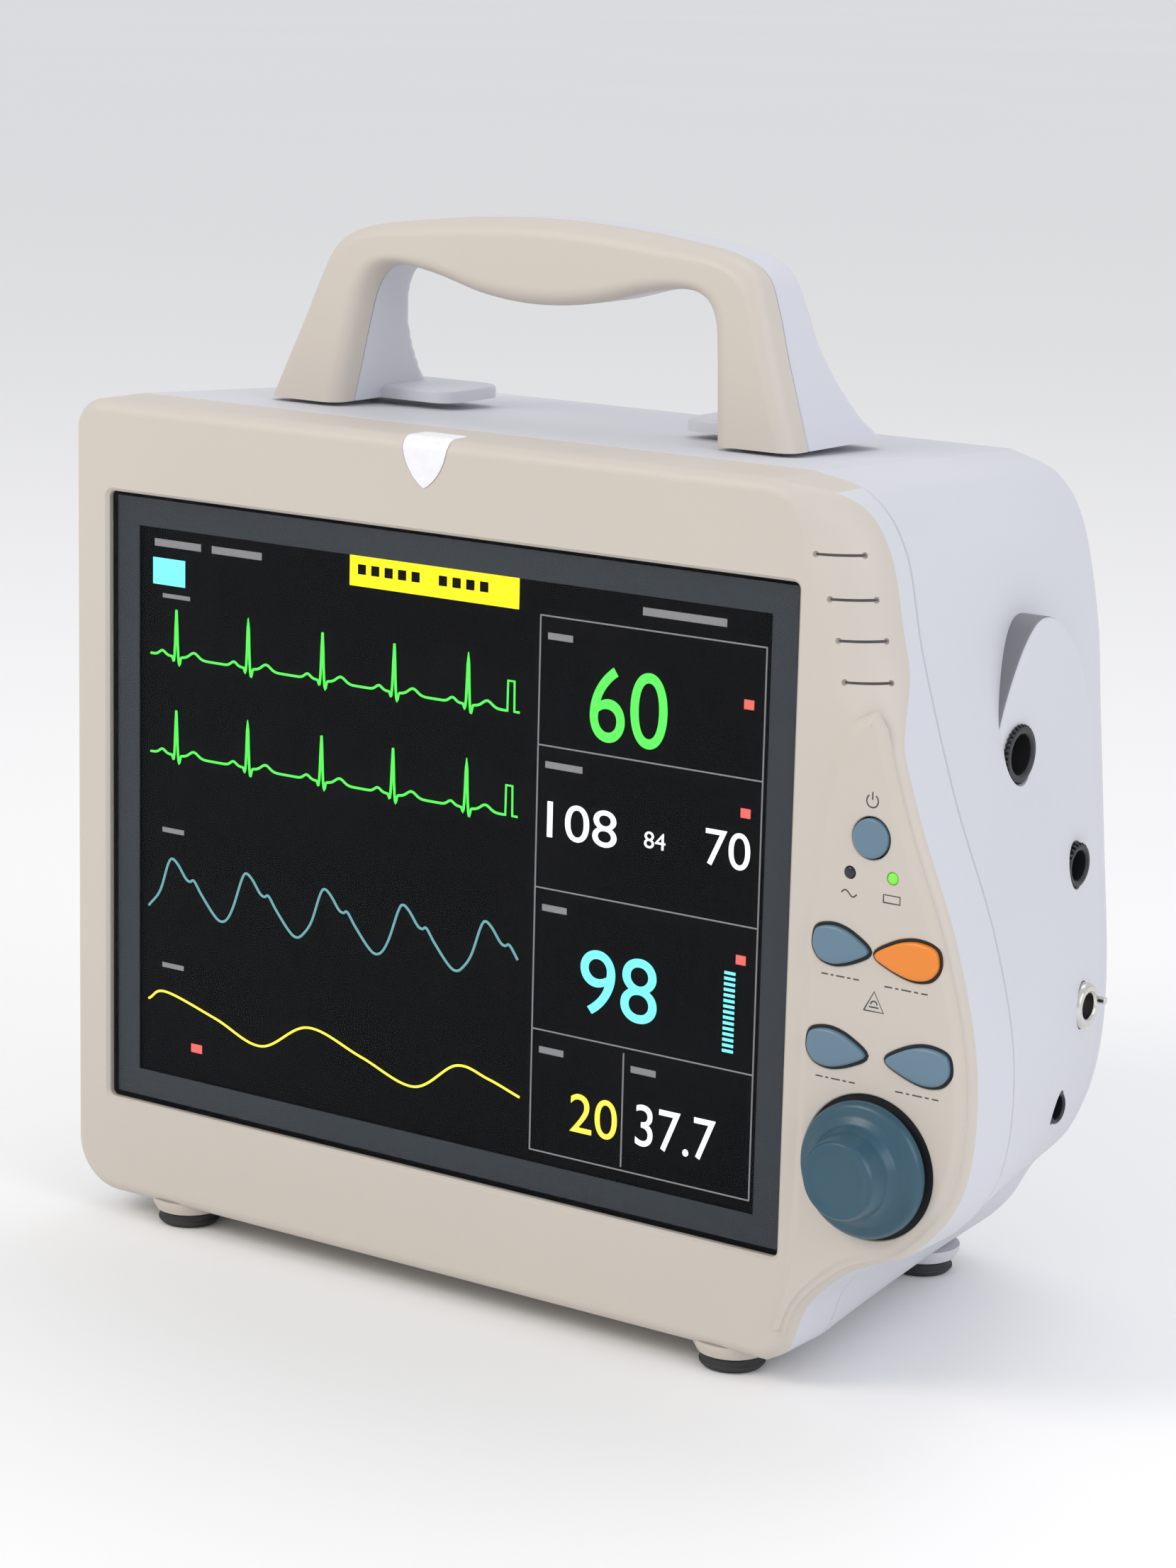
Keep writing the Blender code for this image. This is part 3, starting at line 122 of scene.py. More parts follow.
def rounded_box(low, high, radius, steps=6):
    left, right, bottom, top = low[0] + radius, high[0] - radius, low[1] + radius, high[1] - radius
    path = []
    for x, z, start in ((right, bottom, -90), (right, top, 0), (left, top, 90), (left, bottom, 180)):
        path += arc((x, z), radius, start, start + 90, steps)
    return path


def inset(outline, distance):
    moved = []
    for i, point in enumerate(outline):
        before = (point - outline[i - 1]).normalized()
        after = (outline[(i + 1) % len(outline)] - point).normalized()
        along = (before + after).normalized()
        reach = distance(point) if callable(distance) else distance
        moved.append(point + Vector((-along.y, along.x)) * reach / max(0.5, along.dot(before)))
    return moved


def smoothstep(low, high, value):
    t = min(1.0, max(0.0, (value - low) / (high - low)))
    return t * t * (3.0 - 2.0 * t)


# %% [markdown]
# The case's right side swells out around the knob and is narrower behind. Its outline is
# drawn at the parting line and again at the rear, and the shell blends from one to the other.

# %% The case's two outlines
SIDE_AT_PARTING = [(66.0, 1.0), (49.0, 0.981), (38.0, 0.923), (31.5, 0.807), (20.5, 0.657),
                   (7.5, 0.515), (0.3, 0.378), (2.5, 0.249), (16.0, 0.167), (34.0, 0.129),
                   (47.0, 0.077), (52.5, 0.02), (59.0, 0.0)]
SIDE_AT_REAR = [(66.0, 0.983), (52.0, 0.961), (43.0, 0.906), (37.0, 0.794), (34.5, 0.678),
                (31.5, 0.528), (28.5, 0.365), (30.0, 0.253), (37.0, 0.167), (48.0, 0.112),
                (56.0, 0.056), (68.0, 0.013), (84.0, 0.0)]
EDGE_RADIUS, SHOULDER_RADIUS, REAR_RADIUS = 4.0 * MM, 17.0 * MM, 14.0 * MM
REAR_TAPER, REAR_CORNER = 5.5 * MM, 17 * MM
TOP_CORNER, BOTTOM_CORNER = 9 * MM, 15 * MM
FINE, ALONG_EDGE, ALONG_CORNER = 12, 24, 14


def between(first, last):
    """The points of a straight edge, without its two ends."""
    return [first.lerp(last, i / ALONG_EDGE) for i in range(1, ALONG_EDGE)]


def case_outline(side, left, top, radii, steps=FINE):
    path = smooth_path([(RIGHT - x * MM, level(z)) for x, z in side[::-1]], steps)
    first, last = Vector((path[-1].x, top)), Vector((left + radii[0], top))
    path += between(first, last)
    path += arc((left + radii[0], top - radii[0]), radii[0], 90, 180, ALONG_CORNER)
    high, low = Vector((left, top - radii[0])), Vector((left, BOTTOM + radii[1]))
    path += between(high, low)
    path += arc((left + radii[1], BOTTOM + radii[1]), radii[1], 180, 270, ALONG_CORNER)
    return path + between(path[-1], path[0])


OUTLINE = case_outline(SIDE_AT_PARTING, LEFT, TOP, (TOP_CORNER, BOTTOM_CORNER))
REAR_OUTLINE = case_outline(SIDE_AT_REAR, LEFT + REAR_TAPER, level(SIDE_AT_REAR[0][1]),
                            (REAR_CORNER, REAR_CORNER))


SHOULDER_RISE, SHOULDER_START = (0.71, 0.81), (-6 * MM, 14 * MM)


def front_radius(point):
    """Edge rounding of the front: small all round, large on the upper right shoulder."""
    upper = smoothstep(*[level(share) for share in SHOULDER_RISE], point.y)
    right = smoothstep(*[WINDOW_RIGHT + x for x in SHOULDER_START], point.x)
    return EDGE_RADIUS + (SHOULDER_RADIUS - EDGE_RADIUS) * upper * right


def outline_gap(x, z):
    """Distance from a point of the front to the case's outline, and the nearest outline point."""
    spot = Vector((x, z))
    nearest = min(OUTLINE, key=lambda p: (p - spot).length)
    i = OUTLINE.index(nearest)
    best = (nearest - spot).length
    for a, b in ((OUTLINE[i - 1], nearest), (nearest, OUTLINE[(i + 1) % len(OUTLINE)])):
        t = max(0.0, min(1.0, (spot - a).dot(b - a) / max(1e-12, (b - a).length_squared)))
        best = min(best, (a + (b - a) * t - spot).length)
    return best, nearest


def front_y(x, z):
    """Depth of the front shell's surface at a point, fillet included."""
    gap, nearest = outline_gap(x, z)
    radius = front_radius(nearest)
    if gap >= radius:
        return FRONT
    return FRONT + radius - math.sqrt(max(0.0, radius ** 2 - (radius - gap) ** 2))


print("outline points:", len(OUTLINE), len(REAR_OUTLINE))


# %% [markdown]
# Solids are lofts: rings of equal count, joined side to side and capped at both ends. A turned
# part is a loft of circles and a pressed part is a loft of two outlines. Normals are
# recalculated once on the closed shape, so a cutter always cuts.

# %% Solid helpers
def solid(name, points, faces, paints=(), slots=None):
    mesh = bpy.data.meshes.new(name)
    mesh.from_pydata([Vector(p) for p in points], [], faces)
    for paint in paints:
        mesh.materials.append(paint)
    if slots:
        mesh.polygons.foreach_set("material_index", slots)
    work = bmesh.new()
    work.from_mesh(mesh)
    bmesh.ops.remove_doubles(work, verts=work.verts, dist=1e-7)
    bmesh.ops.recalc_face_normals(work, faces=work.faces)
    work.to_mesh(mesh)
    work.free()
    made = bpy.data.objects.new(name, mesh)
    bpy.context.scene.collection.objects.link(made)
    return made


def loft(name, rings, paints=(), slot_of=None, closed=False):
    count = len(rings[0])
    points = [p for ring in rings for p in ring]
    faces, slots = [], []
    spans = len(rings) if closed else len(rings) - 1
    for r in range(spans):
        for i in range(count):
            j, above = (i + 1) % count, ((r + 1) % len(rings)) * count
            faces.append((r * count + i, r * count + j, above + j, above + i))
            slots.append(slot_of(r, i) if slot_of else 0)
    if not closed:
        faces += [tuple(range(count)), tuple(range(len(points) - count, len(points)))]
        slots += [0, 0]
    return solid(name, points, faces, paints, slots)


def at(axis, a, b, along):
    return {"X": (along, a, b), "Y": (a, along, b), "Z": (a, b, along)}[axis]


def prism(name, axis, outline, low, high, paints=()):
    return loft(name, [[at(axis, p[0], p[1], d) for p in outline] for d in (low, high)], paints)


def block(name, low, high, paints=()):
    outline = [(low[0], low[1]), (high[0], low[1]), (high[0], high[1]), (low[0], high[1])]
    return prism(name, "Z", outline, low[2], high[2], paints)


def turned(name, axis, centre, profile, paints=(), sides=64, closed=False):
    rings = [[at(axis, p[0], p[1], d) for p in circle(centre, r, sides)] for r, d in profile]
    return loft(name, rings, paints, closed=closed)


def rounded_profile(points, radius, steps=5):
    """Rounds the corners of a (radius, place) profile; its two end points stay as they are."""
    path = [Vector(points[0])]
    for before, here, after in zip(points, points[1:], points[2:]):
        here, before, after = Vector(here), Vector(before), Vector(after)
        reach = min(radius, (before - here).length * 0.45, (after - here).length * 0.45)
        a = here + (before - here).normalized() * reach
        b = here + (after - here).normalized() * reach
        for i in range(steps + 1):
            t = i / steps
            path.append((1 - t) ** 2 * a + 2 * t * (1 - t) * here + t * t * b)
    return path + [Vector(points[-1])]


# %% [markdown]
# Modifiers finish the solids. `settle` turns a piece with live modifiers into a plain mesh, and
# `polish` adds weighted normals, so a large flat face stays flat beside its small fillets.

# %% Modifier helpers
def settle(piece):
    """Bakes a piece's modifiers into its mesh."""
    bpy.context.view_layer.update()
    evaluated = piece.evaluated_get(bpy.context.evaluated_depsgraph_get())
    mesh = bpy.data.meshes.new_from_object(evaluated)
    old = piece.data
    piece.modifiers.clear()
    piece.data = mesh
    bpy.data.meshes.remove(old)
    return piece


def carve(piece, tools, operation="DIFFERENCE", solver="MANIFOLD"):
    for tool in tools:
        step = piece.modifiers.new(tool.name, "BOOLEAN")
        step.operation, step.object, step.solver = operation, tool, solver
    settle(piece)
    for tool in tools:
        bpy.data.objects.remove(tool)
    return piece


def polish(piece, angle=30.0, bevel=0.0, segments=3, bevel_angle=40.0):
    if bevel:
        edge = piece.modifiers.new("edge", "BEVEL")
        edge.width, edge.segments, edge.limit_method = bevel, segments, "ANGLE"
        edge.angle_limit = math.radians(bevel_angle)
        settle(piece)
    piece.data.shade_smooth()
    piece.data.set_sharp_from_angle(angle=math.radians(angle))
    weighted = piece.modifiers.new("weighted", "WEIGHTED_NORMAL")
    weighted.keep_sharp = True
    return settle(piece)


def refined(node, name, paint, bevel, segments=3):
    """A copy of a plain node with its doubles merged, flat faces joined and edges rounded."""
    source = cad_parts[node]
    piece = bpy.data.objects.new(name, source.data.copy())
    bpy.context.scene.collection.objects.link(piece)
    work = bmesh.new()
    work.from_mesh(piece.data)
    work.transform(source.matrix_world)
    bmesh.ops.remove_doubles(work, verts=work.verts, dist=1e-6)
    bmesh.ops.dissolve_limit(work, angle_limit=math.radians(1), verts=work.verts, edges=work.edges)
    work.to_mesh(piece.data)
    work.free()
    piece.data.materials.clear()
    piece.data.materials.append(paint)
    return polish(piece, bevel=bevel, segments=segments)


def settled_on(piece, body, slot, *nodes):
    """Rides the piece on its body and says which nodes it stands for; its slot is not used."""
    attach(piece, body)
    if nodes:
        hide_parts(*nodes)
    print(f"{piece.name}: {len(piece.data.polygons)} faces on {body}")
    return piece


# %% [markdown]
# Shader maths reads like arithmetic. `Socket` wraps one output and overloads the operators, and
# `Paint` owns a material and has the single method that adds any other node.

# %% Shader expressions
class Socket:
    def __init__(self, paint, socket):
        self.paint, self.socket = paint, socket

    def maths(self, operation, first, second):
        return self.paint.node("ShaderNodeMath", {"operation": operation}, {0: first, 1: second})

    def __add__(self, other):
        return self.maths("ADD", self, other)

    def __sub__(self, other):
        return self.maths("SUBTRACT", self, other)

    def __rsub__(self, other):
        return self.maths("SUBTRACT", other, self)

    def __mul__(self, other):
        return self.maths("MULTIPLY", self, other)

    def __gt__(self, other):
        return self.maths("GREATER_THAN", self, other)

    __radd__, __rmul__ = __add__, __mul__


class Paint:
    """A new material with the one method that adds a node to it."""

    def __init__(self, name):
        self.material = bpy.data.materials.new(name)
        self.material.use_nodes = True
        self.tree = self.material.node_tree
        self.shader = self.tree.nodes["Principled BSDF"]
        self.place = self.node("ShaderNodeTexCoord", output="Object")

    def node(self, kind, settings=None, sockets=None, output=0):
        made = self.tree.nodes.new(kind)
        for key, value in (settings or {}).items():
            setattr(made, key, value)
        for key, value in (sockets or {}).items():
            self.feed(made.inputs[key], value)
        return Socket(self, made.outputs[output])

    def feed(self, target, value):
        if isinstance(value, Socket):
            self.tree.links.new(value.socket, target)
        else:
            target.default_value = value

    def noise(self, scale, detail=2.0, stretch=None):
        place = self.place
        if stretch:
            place = self.node("ShaderNodeMapping", sockets={"Vector": place, "Scale": stretch})
        return self.node("ShaderNodeTexNoise",
                         sockets={"Vector": place, "Scale": scale, "Detail": detail})

    def mix(self, share, first, second):
        made = self.tree.nodes.new("ShaderNodeMix")
        made.data_type = "RGBA"
        self.feed(made.inputs[0], share)
        self.feed(made.inputs[6], first)
        self.feed(made.inputs[7], second)
        return Socket(self, made.outputs[2])

    def bump(self, height, distance, strength=1.0):
        return self.node("ShaderNodeBump", sockets={
            "Height": height, "Distance": distance, "Strength": strength})

    def finish(self, **values):
        for key, value in values.items():
            self.feed(self.shader.inputs[key.replace("_", " ")], value)
        return self.material


def tone(colour, factor=1.0):
    return tuple(min(1.0, c * factor) for c in colour) + (1.0,)


# %% [markdown]
# Moulded case plastic comes out of a spark-eroded tool: a fine, dry grain a few tenths of a
# millimetre wide, nearly even in colour. Two noises make it. A broad one shifts the colour a
# little, and a fine one drives both the bump and a small change of roughness.

# %% Plastic finishes
def moulded(name, colour, roughness=0.45, depth=0.035, drift=0.035, shine=0.5):
    paint = Paint(name)
    paint.shader.inputs["Specular IOR Level"].default_value = shine
    fine = paint.noise(1400.0, 3.0)
    broad = paint.noise(11.0, 3.0)
    handled = paint.noise(45.0, 2.0)
    body = paint.mix(broad, tone(colour, 1.0 - drift), tone(colour, 1.0 + drift))
    rough = roughness + (fine - 0.5) * 0.16 + (handled - 0.5) * 0.10
    return paint.finish(Base_Color=body, Roughness=rough,
                        Normal=paint.bump(fine, depth * MM, 0.9))


case_beige = moulded("case_beige", (0.575, 0.522, 0.462), 0.48)
case_white = moulded("case_white", (0.60, 0.605, 0.645), 0.46)
# Dark grey painted on the leaf's rim as the shade of its step.
leaf_rim_shade = moulded("leaf_rim_shade", (0.20, 0.20, 0.215), 0.5)
grip_white = moulded("grip_white", (0.60, 0.605, 0.65), 0.42)
key_blue = moulded("key_blue", (0.118, 0.205, 0.275), 0.36, depth=0.012)
key_orange = moulded("key_orange", (0.80, 0.235, 0.022), 0.36, depth=0.012)
knob_teal = moulded("knob_teal", (0.024, 0.080, 0.118), 0.34, depth=0.02, drift=0.08)
socket_black = moulded("socket_black", (0.012, 0.013, 0.017), 0.42, depth=0.02)
black_moulding = moulded("black_moulding", (0.025, 0.025, 0.028), 0.5)
# Black rubber of the key mat; the same black paints the shade in the gaps round the keys and the knob.
seal_rubber = moulded("seal_rubber", (0.010, 0.012, 0.016), 0.7, depth=0.05)
# Dark brown painted in the parting gap as its shade.
parting_gap_shade = moulded("parting_gap_shade", (0.075, 0.062, 0.058), 0.7)
foot_rubber = moulded("foot_rubber", (0.030, 0.030, 0.032), 0.75, depth=0.06)
# Dark ink for the printed marks; the same dark also paints the shade at the bottom of the grooves.
ink_and_groove_shade = moulded("ink_and_groove_shade", (0.060, 0.060, 0.065), 0.6)
mask_slate = moulded("mask_slate", (0.040, 0.052, 0.066), 0.22, depth=0.0, drift=0.02)
screen_black = moulded("screen_black", (0.0025, 0.0025, 0.003), 0.4, depth=0.0, drift=0.2,
                       shine=0.08)


# %% [markdown]
# Sheet steel is rolled, so its scratches run one way: the noise is stretched along X. Plated
# parts are smoother, and circuit boards carry a faint pattern of tracks in their green lacquer.

# %% Metal and board finishes
def rolled(name, colour, roughness, stretch=(60.0, 900.0, 900.0)):
    paint = Paint(name)
    lines = paint.noise(1.0, 4.0, stretch)
    patches = paint.noise(20.0, 2.0)
    body = paint.mix(patches, tone(colour, 0.93), tone(colour, 1.05))
    return paint.finish(Base_Color=body, Metallic=1.0,
                        Roughness=roughness + (lines - 0.5) * 0.25 + (patches - 0.5) * 0.08,
                        Normal=paint.bump(lines, 0.012 * MM, 0.8))


sheet_steel = rolled("sheet_steel", (0.55, 0.56, 0.58), 0.38)
nickel = rolled("nickel", (0.68, 0.67, 0.64), 0.22, (200.0, 200.0, 200.0))
contact_gold = rolled("contact_gold", (0.85, 0.62, 0.25), 0.2, (300.0, 300.0, 300.0))


def circuit_board():
    paint = Paint("board_green")
    tracks = paint.node("ShaderNodeTexVoronoi", {"distance": "MANHATTAN"},
                        {"Vector": paint.place, "Scale": 220.0})
    copper = tracks > 0.42
    body = paint.mix(copper, tone((0.012, 0.13, 0.045)), tone((0.030, 0.23, 0.09)))
    return paint.finish(Base_Color=body, Roughness=0.38 + copper * 0.12,
                        Normal=paint.bump(copper, 0.03 * MM))


board_green = circuit_board()


# %% [markdown]
# Three finishes let light through or give it off: the window is clear with a soft reflection,
# the alarm lens is milky, and the picture and the battery lamp glow. A faint, very fine noise is
# kept in the glow, so that the colour isn't dead flat close up.

# %% Glass, lens and glow
def clear_window():
    paint = Paint("window_clear")
    smears = paint.noise(14.0, 4.0)
    paint.shader.inputs["Specular IOR Level"].default_value = 0.22
    made = paint.finish(Base_Color=(0.004, 0.006, 0.010, 1.0), Roughness=0.05 + smears * 0.05,
                        Alpha=0.10 + smears * 0.03)
    made.surface_render_method = "BLENDED"
    return made


def milky_lens():
    paint = Paint("lens_milky")
    cloud = paint.noise(300.0, 2.0)
    body = paint.mix(cloud, tone((0.80, 0.80, 0.84)), tone((0.90, 0.90, 0.93)))
    paint.shader.inputs["Subsurface Weight"].default_value = 0.35
    paint.shader.inputs["Subsurface Scale"].default_value = 1.5 * MM
    return paint.finish(Base_Color=body, Roughness=0.22 + cloud * 0.08)


def glow(name, colour, strength):
    paint = Paint(name)
    cells = paint.noise(3500.0, 1.0)
    light = paint.mix(cells, tone(colour, 0.86), tone(colour, 1.0))
    return paint.finish(Base_Color=light, Emission_Color=light, Emission_Strength=strength,
                        Roughness=0.4)


window_clear, lens_milky = clear_window(), milky_lens()
glow_green = glow("glow_green", (0.08, 0.80, 0.08), 1.3)
glow_cyan = glow("glow_cyan", (0.16, 0.80, 0.86), 1.2)
glow_teal = glow("glow_teal", (0.14, 0.36, 0.38), 0.9)
glow_yellow = glow("glow_yellow", (0.86, 0.80, 0.06), 1.2)
glow_banner = glow("glow_banner", (1.0, 0.87, 0.0), 1.3)
glow_white = glow("glow_white", (0.86, 0.88, 0.90), 1.2)
glow_grey = glow("glow_grey", (0.22, 0.22, 0.23), 0.8)
glow_red = glow("glow_red", (0.75, 0.12, 0.10), 1.0)
lamp_green = glow("lamp_green", (0.16, 0.62, 0.05), 0.5)
lamp_dark = moulded("lamp_dark", (0.012, 0.014, 0.030), 0.15, depth=0.0)
print("finishes made:", len(bpy.data.materials))


# %% [markdown]
# Two small Geometry Nodes trees make everything that repeats. One puts a copy of a stamp on
# every point of a small point mesh: screws, contact pins, vent slots and speaker holes. The
# other sweeps a round profile along edges: screen traces, frame lines, printed marks and the
# shoulder's grooves. Each ends in Realize Instances and Set Material.

# %% Geometry Nodes trees
def new_tree(name, inputs):
    tree = bpy.data.node_groups.new(name, "GeometryNodeTree")
    tree.interface.new_socket("Geometry", in_out="INPUT", socket_type="NodeSocketGeometry")
    for label, kind in inputs:
        tree.interface.new_socket(label, in_out="INPUT", socket_type=kind)
    tree.interface.new_socket("Geometry", in_out="OUTPUT", socket_type="NodeSocketGeometry")
    return tree, tree.nodes.new("NodeGroupInput"), tree.nodes.new("NodeGroupOutput")


def chain(tree, source, kinds):
    """Adds nodes one after another, joined by their first geometry sockets."""
    made = []
    for kind in kinds:
        node = tree.nodes.new(kind)
        tree.links.new(source, node.inputs[0])
        source = node.outputs[0]
        made.append(node)
    return made


def stamp_tree():
    tree, start, end = new_tree("stamp_on_points", [
        ("Stamp", "NodeSocketObject"), ("Size", "NodeSocketFloat"), ("Finish", "NodeSocketMaterial")])
    points, copies, _, finish = chain(tree, start.outputs["Geometry"], [
        "GeometryNodeMeshToPoints", "GeometryNodeInstanceOnPoints",
        "GeometryNodeRealizeInstances", "GeometryNodeSetMaterial"])
    stamp = tree.nodes.new("GeometryNodeObjectInfo")
    tree.links.new(start.outputs["Stamp"], stamp.inputs["Object"])
    tree.links.new(stamp.outputs["Geometry"], copies.inputs["Instance"])
    tree.links.new(start.outputs["Size"], copies.inputs["Scale"])
    tree.links.new(start.outputs["Finish"], finish.inputs["Material"])
    tree.links.new(finish.outputs[0], end.inputs["Geometry"])
    return tree


def sweep_tree():
    tree, start, end = new_tree("sweep_along_edges", [
        ("Radius", "NodeSocketFloat"), ("Finish", "NodeSocketMaterial")])
    curve, tube, _, finish = chain(tree, start.outputs["Geometry"], [
        "GeometryNodeMeshToCurve", "GeometryNodeCurveToMesh",
        "GeometryNodeRealizeInstances", "GeometryNodeSetMaterial"])
    ring = tree.nodes.new("GeometryNodeCurvePrimitiveCircle")
    ring.inputs["Resolution"].default_value = 8
    tree.links.new(start.outputs["Radius"], ring.inputs["Radius"])
    tree.links.new(ring.outputs[0], tube.inputs["Profile Curve"])
    tube.inputs["Fill Caps"].default_value = True
    tree.links.new(start.outputs["Finish"], finish.inputs["Material"])
    tree.links.new(finish.outputs[0], end.inputs["Geometry"])
    return tree


STAMP, SWEEP = stamp_tree(), sweep_tree()


def run_tree(name, tree, points, edges, values):
    """Feeds points and edges through a tree and returns the plain mesh object."""
    mesh = bpy.data.meshes.new(name)
    mesh.from_pydata([Vector(p) for p in points], edges, [])
    piece = bpy.data.objects.new(name, mesh)
    bpy.context.scene.collection.objects.link(piece)
    step = piece.modifiers.new("nodes", "NODES")
    step.node_group = tree
    named = {s.name: s.identifier for s in tree.interface.items_tree if s.in_out == "INPUT"}
    for label, value in values.items():
        step[named[label]] = value
    return settle(piece)


def stamped(name, stamp, points, paint, size=1.0):
    made = run_tree(name, STAMP, points, [], {"Stamp": stamp, "Size": size, "Finish": paint})
    bpy.data.objects.remove(stamp)
    return made


def swept(name, paths, radius, paint, closed=False):
    points, edges = [], []
    for path in paths:
        start = len(points)
        points += path
        edges += [(start + i, start + i + 1) for i in range(len(path) - 1)]
        if closed:
            edges.append((len(points) - 1, start))
    return run_tree(name, SWEEP, points, edges, {"Radius": radius, "Finish": paint})


# %% [markdown]
# The front shell is a shallow tray. Its rings run from the inner floor, over the rim at the
# parting line, and round the front fillet to the face. The band behind the fillet on the two
# sides is moulded in the cool white of the rear shell, so those faces take the second slot.

# %% Front shell: tray with two finishes
INNER_FRONT = FRONT + WALL
RIM_ROUND = 0.35 * MM
INNER_FOLLOWS = 0.45


def front_rings():
    rings = []
    for y, extra in ((INNER_FRONT, EDGE_RADIUS), (INNER_FRONT + EDGE_RADIUS, 0.0)):
        drawn = inset(OUTLINE, lambda p: (
            WALL + extra + INNER_FOLLOWS * (front_radius(p) - EDGE_RADIUS)))
        rings.append([(p.x, y, p.y) for p in drawn])
    back = PARTING - HALF_GAP
    rings.append([(p.x, back, p.y) for p in inset(OUTLINE, WALL)])
    for turn in (0.0, 0.35, 1.0):
        drawn = inset(OUTLINE, RIM_ROUND * (1 - turn) ** 2)
        rings.append([(p.x, back - RIM_ROUND * turn, p.y) for p in drawn])
    for step in range(FINE + 1):
        angle = math.radians(90.0 * step / FINE)
        drawn = inset(OUTLINE, lambda p: front_radius(p) * (1.0 - math.cos(angle)))
        rings.append([(p.x, FRONT + front_radius(o) * (1.0 - math.sin(angle)), p.y)
                      for o, p in zip(OUTLINE, drawn)])
    return rings


def side_slot(ring, i):
    """Slot 1, the white, for the band between the rim and the fillet on the two sides."""
    along = OUTLINE[(i + 1) % len(OUTLINE)] - OUTLINE[i]
    sideways = abs(along.y) / max(1e-9, along.length)
    return 1 if 3 <= ring <= 6 and sideways > 0.35 else 0


front_shell = loft("front_shell", front_rings(), (case_beige, case_white), side_slot)
print("front tray faces:", len(front_shell.data.polygons))


# %% [markdown]
# The controls stand on a drop-shaped plate that is barely proud of the face. Its left edge is
# drawn, its right edge is the case's own side drawn in, and stacked rings round its rim. Toward
# the lower tip the rings stop drawing in, because they would cross where the plate is narrow.

# %% Control strip plate
STRIP_EDGE = [(23.7, 0.755), (18.5, 0.742), (15.0, 0.720), (12.4, 0.676), (10.3, 0.627),
              (8.9, 0.579), (8.1, 0.531), (7.2, 0.433), (6.9, 0.337), (6.0, 0.18), (4.2, 0.10),
              (1.0, 0.045)]
STRIP_MARGIN, STRIP_ROOT = 3.2 * MM, 1.2 * MM
STRIP_TIP = (0.05, 0.2)
STRIP_RIM = ((1.9, 0.0), (1.3, 0.05), (0.8, 0.16), (0.3, 0.34), (-0.2, 0.55), (-0.7, 0.75),
             (-1.2, 0.89), (-1.8, 0.97), (-2.5, 1.0))


def strip_outline():
    edge = [(WINDOW_RIGHT + x * MM, level(z)) for x, z in STRIP_EDGE]
    side = [p for p in inset(OUTLINE, STRIP_MARGIN)
            if p.x > WINDOW_RIGHT and edge[-1][1] < p.y < edge[0][1]]
    return smooth_path(edge, 6) + side


def strip_rings():
    outline, rise = strip_outline(), FRONT - POD_FACE
    rings = [[(p.x, FRONT + STRIP_ROOT, p.y) for p in inset(outline, -STRIP_RIM[0][0] * rise)]]
    tip_low, tip_high = [level(share) for share in STRIP_TIP]
    for grow, up in STRIP_RIM:
        ring = []
        for old, new in zip(outline, inset(outline, -grow * rise)):
            spot = old.lerp(new, 1.0 if grow > 0 else smoothstep(tip_low, tip_high, old.y))
            ring.append((spot.x, FRONT - rise * up, spot.y))
        rings.append(ring)
    return rings


BOSS = ((8.8, -3.0), (9.6, -2.6), (10.8, -0.4), (10.9, 1.0))


def boss(node):
    place, _ = round_place(node, "xy")
    return turned(node + "_boss", "Z", place,
                  [(radius * MM, BOTTOM + z * MM) for radius, z in BOSS], (case_beige,), 64)


carve(front_shell, [loft("strip", strip_rings(), (case_beige,)), boss("foot_front_left"),
                    boss("foot_front_right")], "UNION")


# %% [markdown]
# Holes are cut with solids that have their own rounded rims, because a rim that catches the
# light is what tells the eye that a part is moulded. The window's opening has a flat chamfer.

# %% Openings in the front shell
KEY_LEAF = [(0.0, 0.1), (0.05, 0.72), (0.22, 0.97), (0.45, 0.98), (0.72, 0.66), (1.0, -0.05),
            (0.76, -0.62), (0.42, -0.98), (0.16, -0.86), (0.03, -0.4)]
KEY_GAP, KEY_CAP, KEY_BORE = 0.8 * MM, 4.9 * MM, 3.2 * MM
POWER_FLANGE, POWER_GAP, LAMP_GAP, LAMP_RIM = 1.4 * MM, 0.4 * MM, 0.2 * MM, 0.2 * MM
KNOB_GAP, KNOB_RECESS, SHAFT_BORE = 1.2 * MM, 1.5 * MM, 3.4 * MM
WINDOW_CORNER = 1.6
WINDOW_RIM = ((2.4, -1.1), (1.3, 0.0), (1.15, 0.06), (0.35, 0.92), (0.3, 1.05), (0.3, 4.0))
KEY_NODES = {"freeze_key": False, "silence_key": True, "record_key": False, "menu_key": True}


def key_place(node):
    """Centre and length of a key, from its node; the flange behind it is taller than the cap."""
    low, high = corners(node)
    return Vector(((low.x + high.x) / 2, (low.z + high.z) / 2)), high.x - low.x


def key_outline(node, grow=0.0, steps=6):
    centre, length = key_place(node)
    sign = -1.0 if KEY_NODES[node] else 1.0
    points = [(centre.x + sign * (u - 0.5) * length, centre.y + v * KEY_CAP) for u, v in KEY_LEAF]
    ring = smooth_path([points[-1]] + points + points[:2], steps)[steps:-steps - 1]
    return inset(ring if KEY_NODES[node] else ring[::-1], -grow)


def rimmed_hole(name, outline, face, back, rim=0.45 * MM):
    """A hole cutter that flares into a small rounded rim at the face."""
    rings = [[(p.x, face - rim, p.y) for p in inset(outline, -rim * 2.2)]]
    for i in range(6):
        angle = math.radians(90.0 * i / 5)
        grow = rim * (1.0 - math.sin(angle))
        depth = rim * (1.0 - math.cos(angle))
        rings.append([(p.x, face + depth, p.y) for p in inset(outline, -grow)])
    rings.append([(p.x, back, p.y) for p in outline])
    return loft(name, rings)


KNOB_AT, KNOB_RADIUS = round_place("control_knob")
POWER_AT, power_flange = round_place("power_button")
POWER_RADIUS = power_flange - POWER_FLANGE
LAMPS = {"mains_led_lens": lamp_dark, "battery_led_lens": lamp_green}
THROUGH = INNER_FRONT + MM

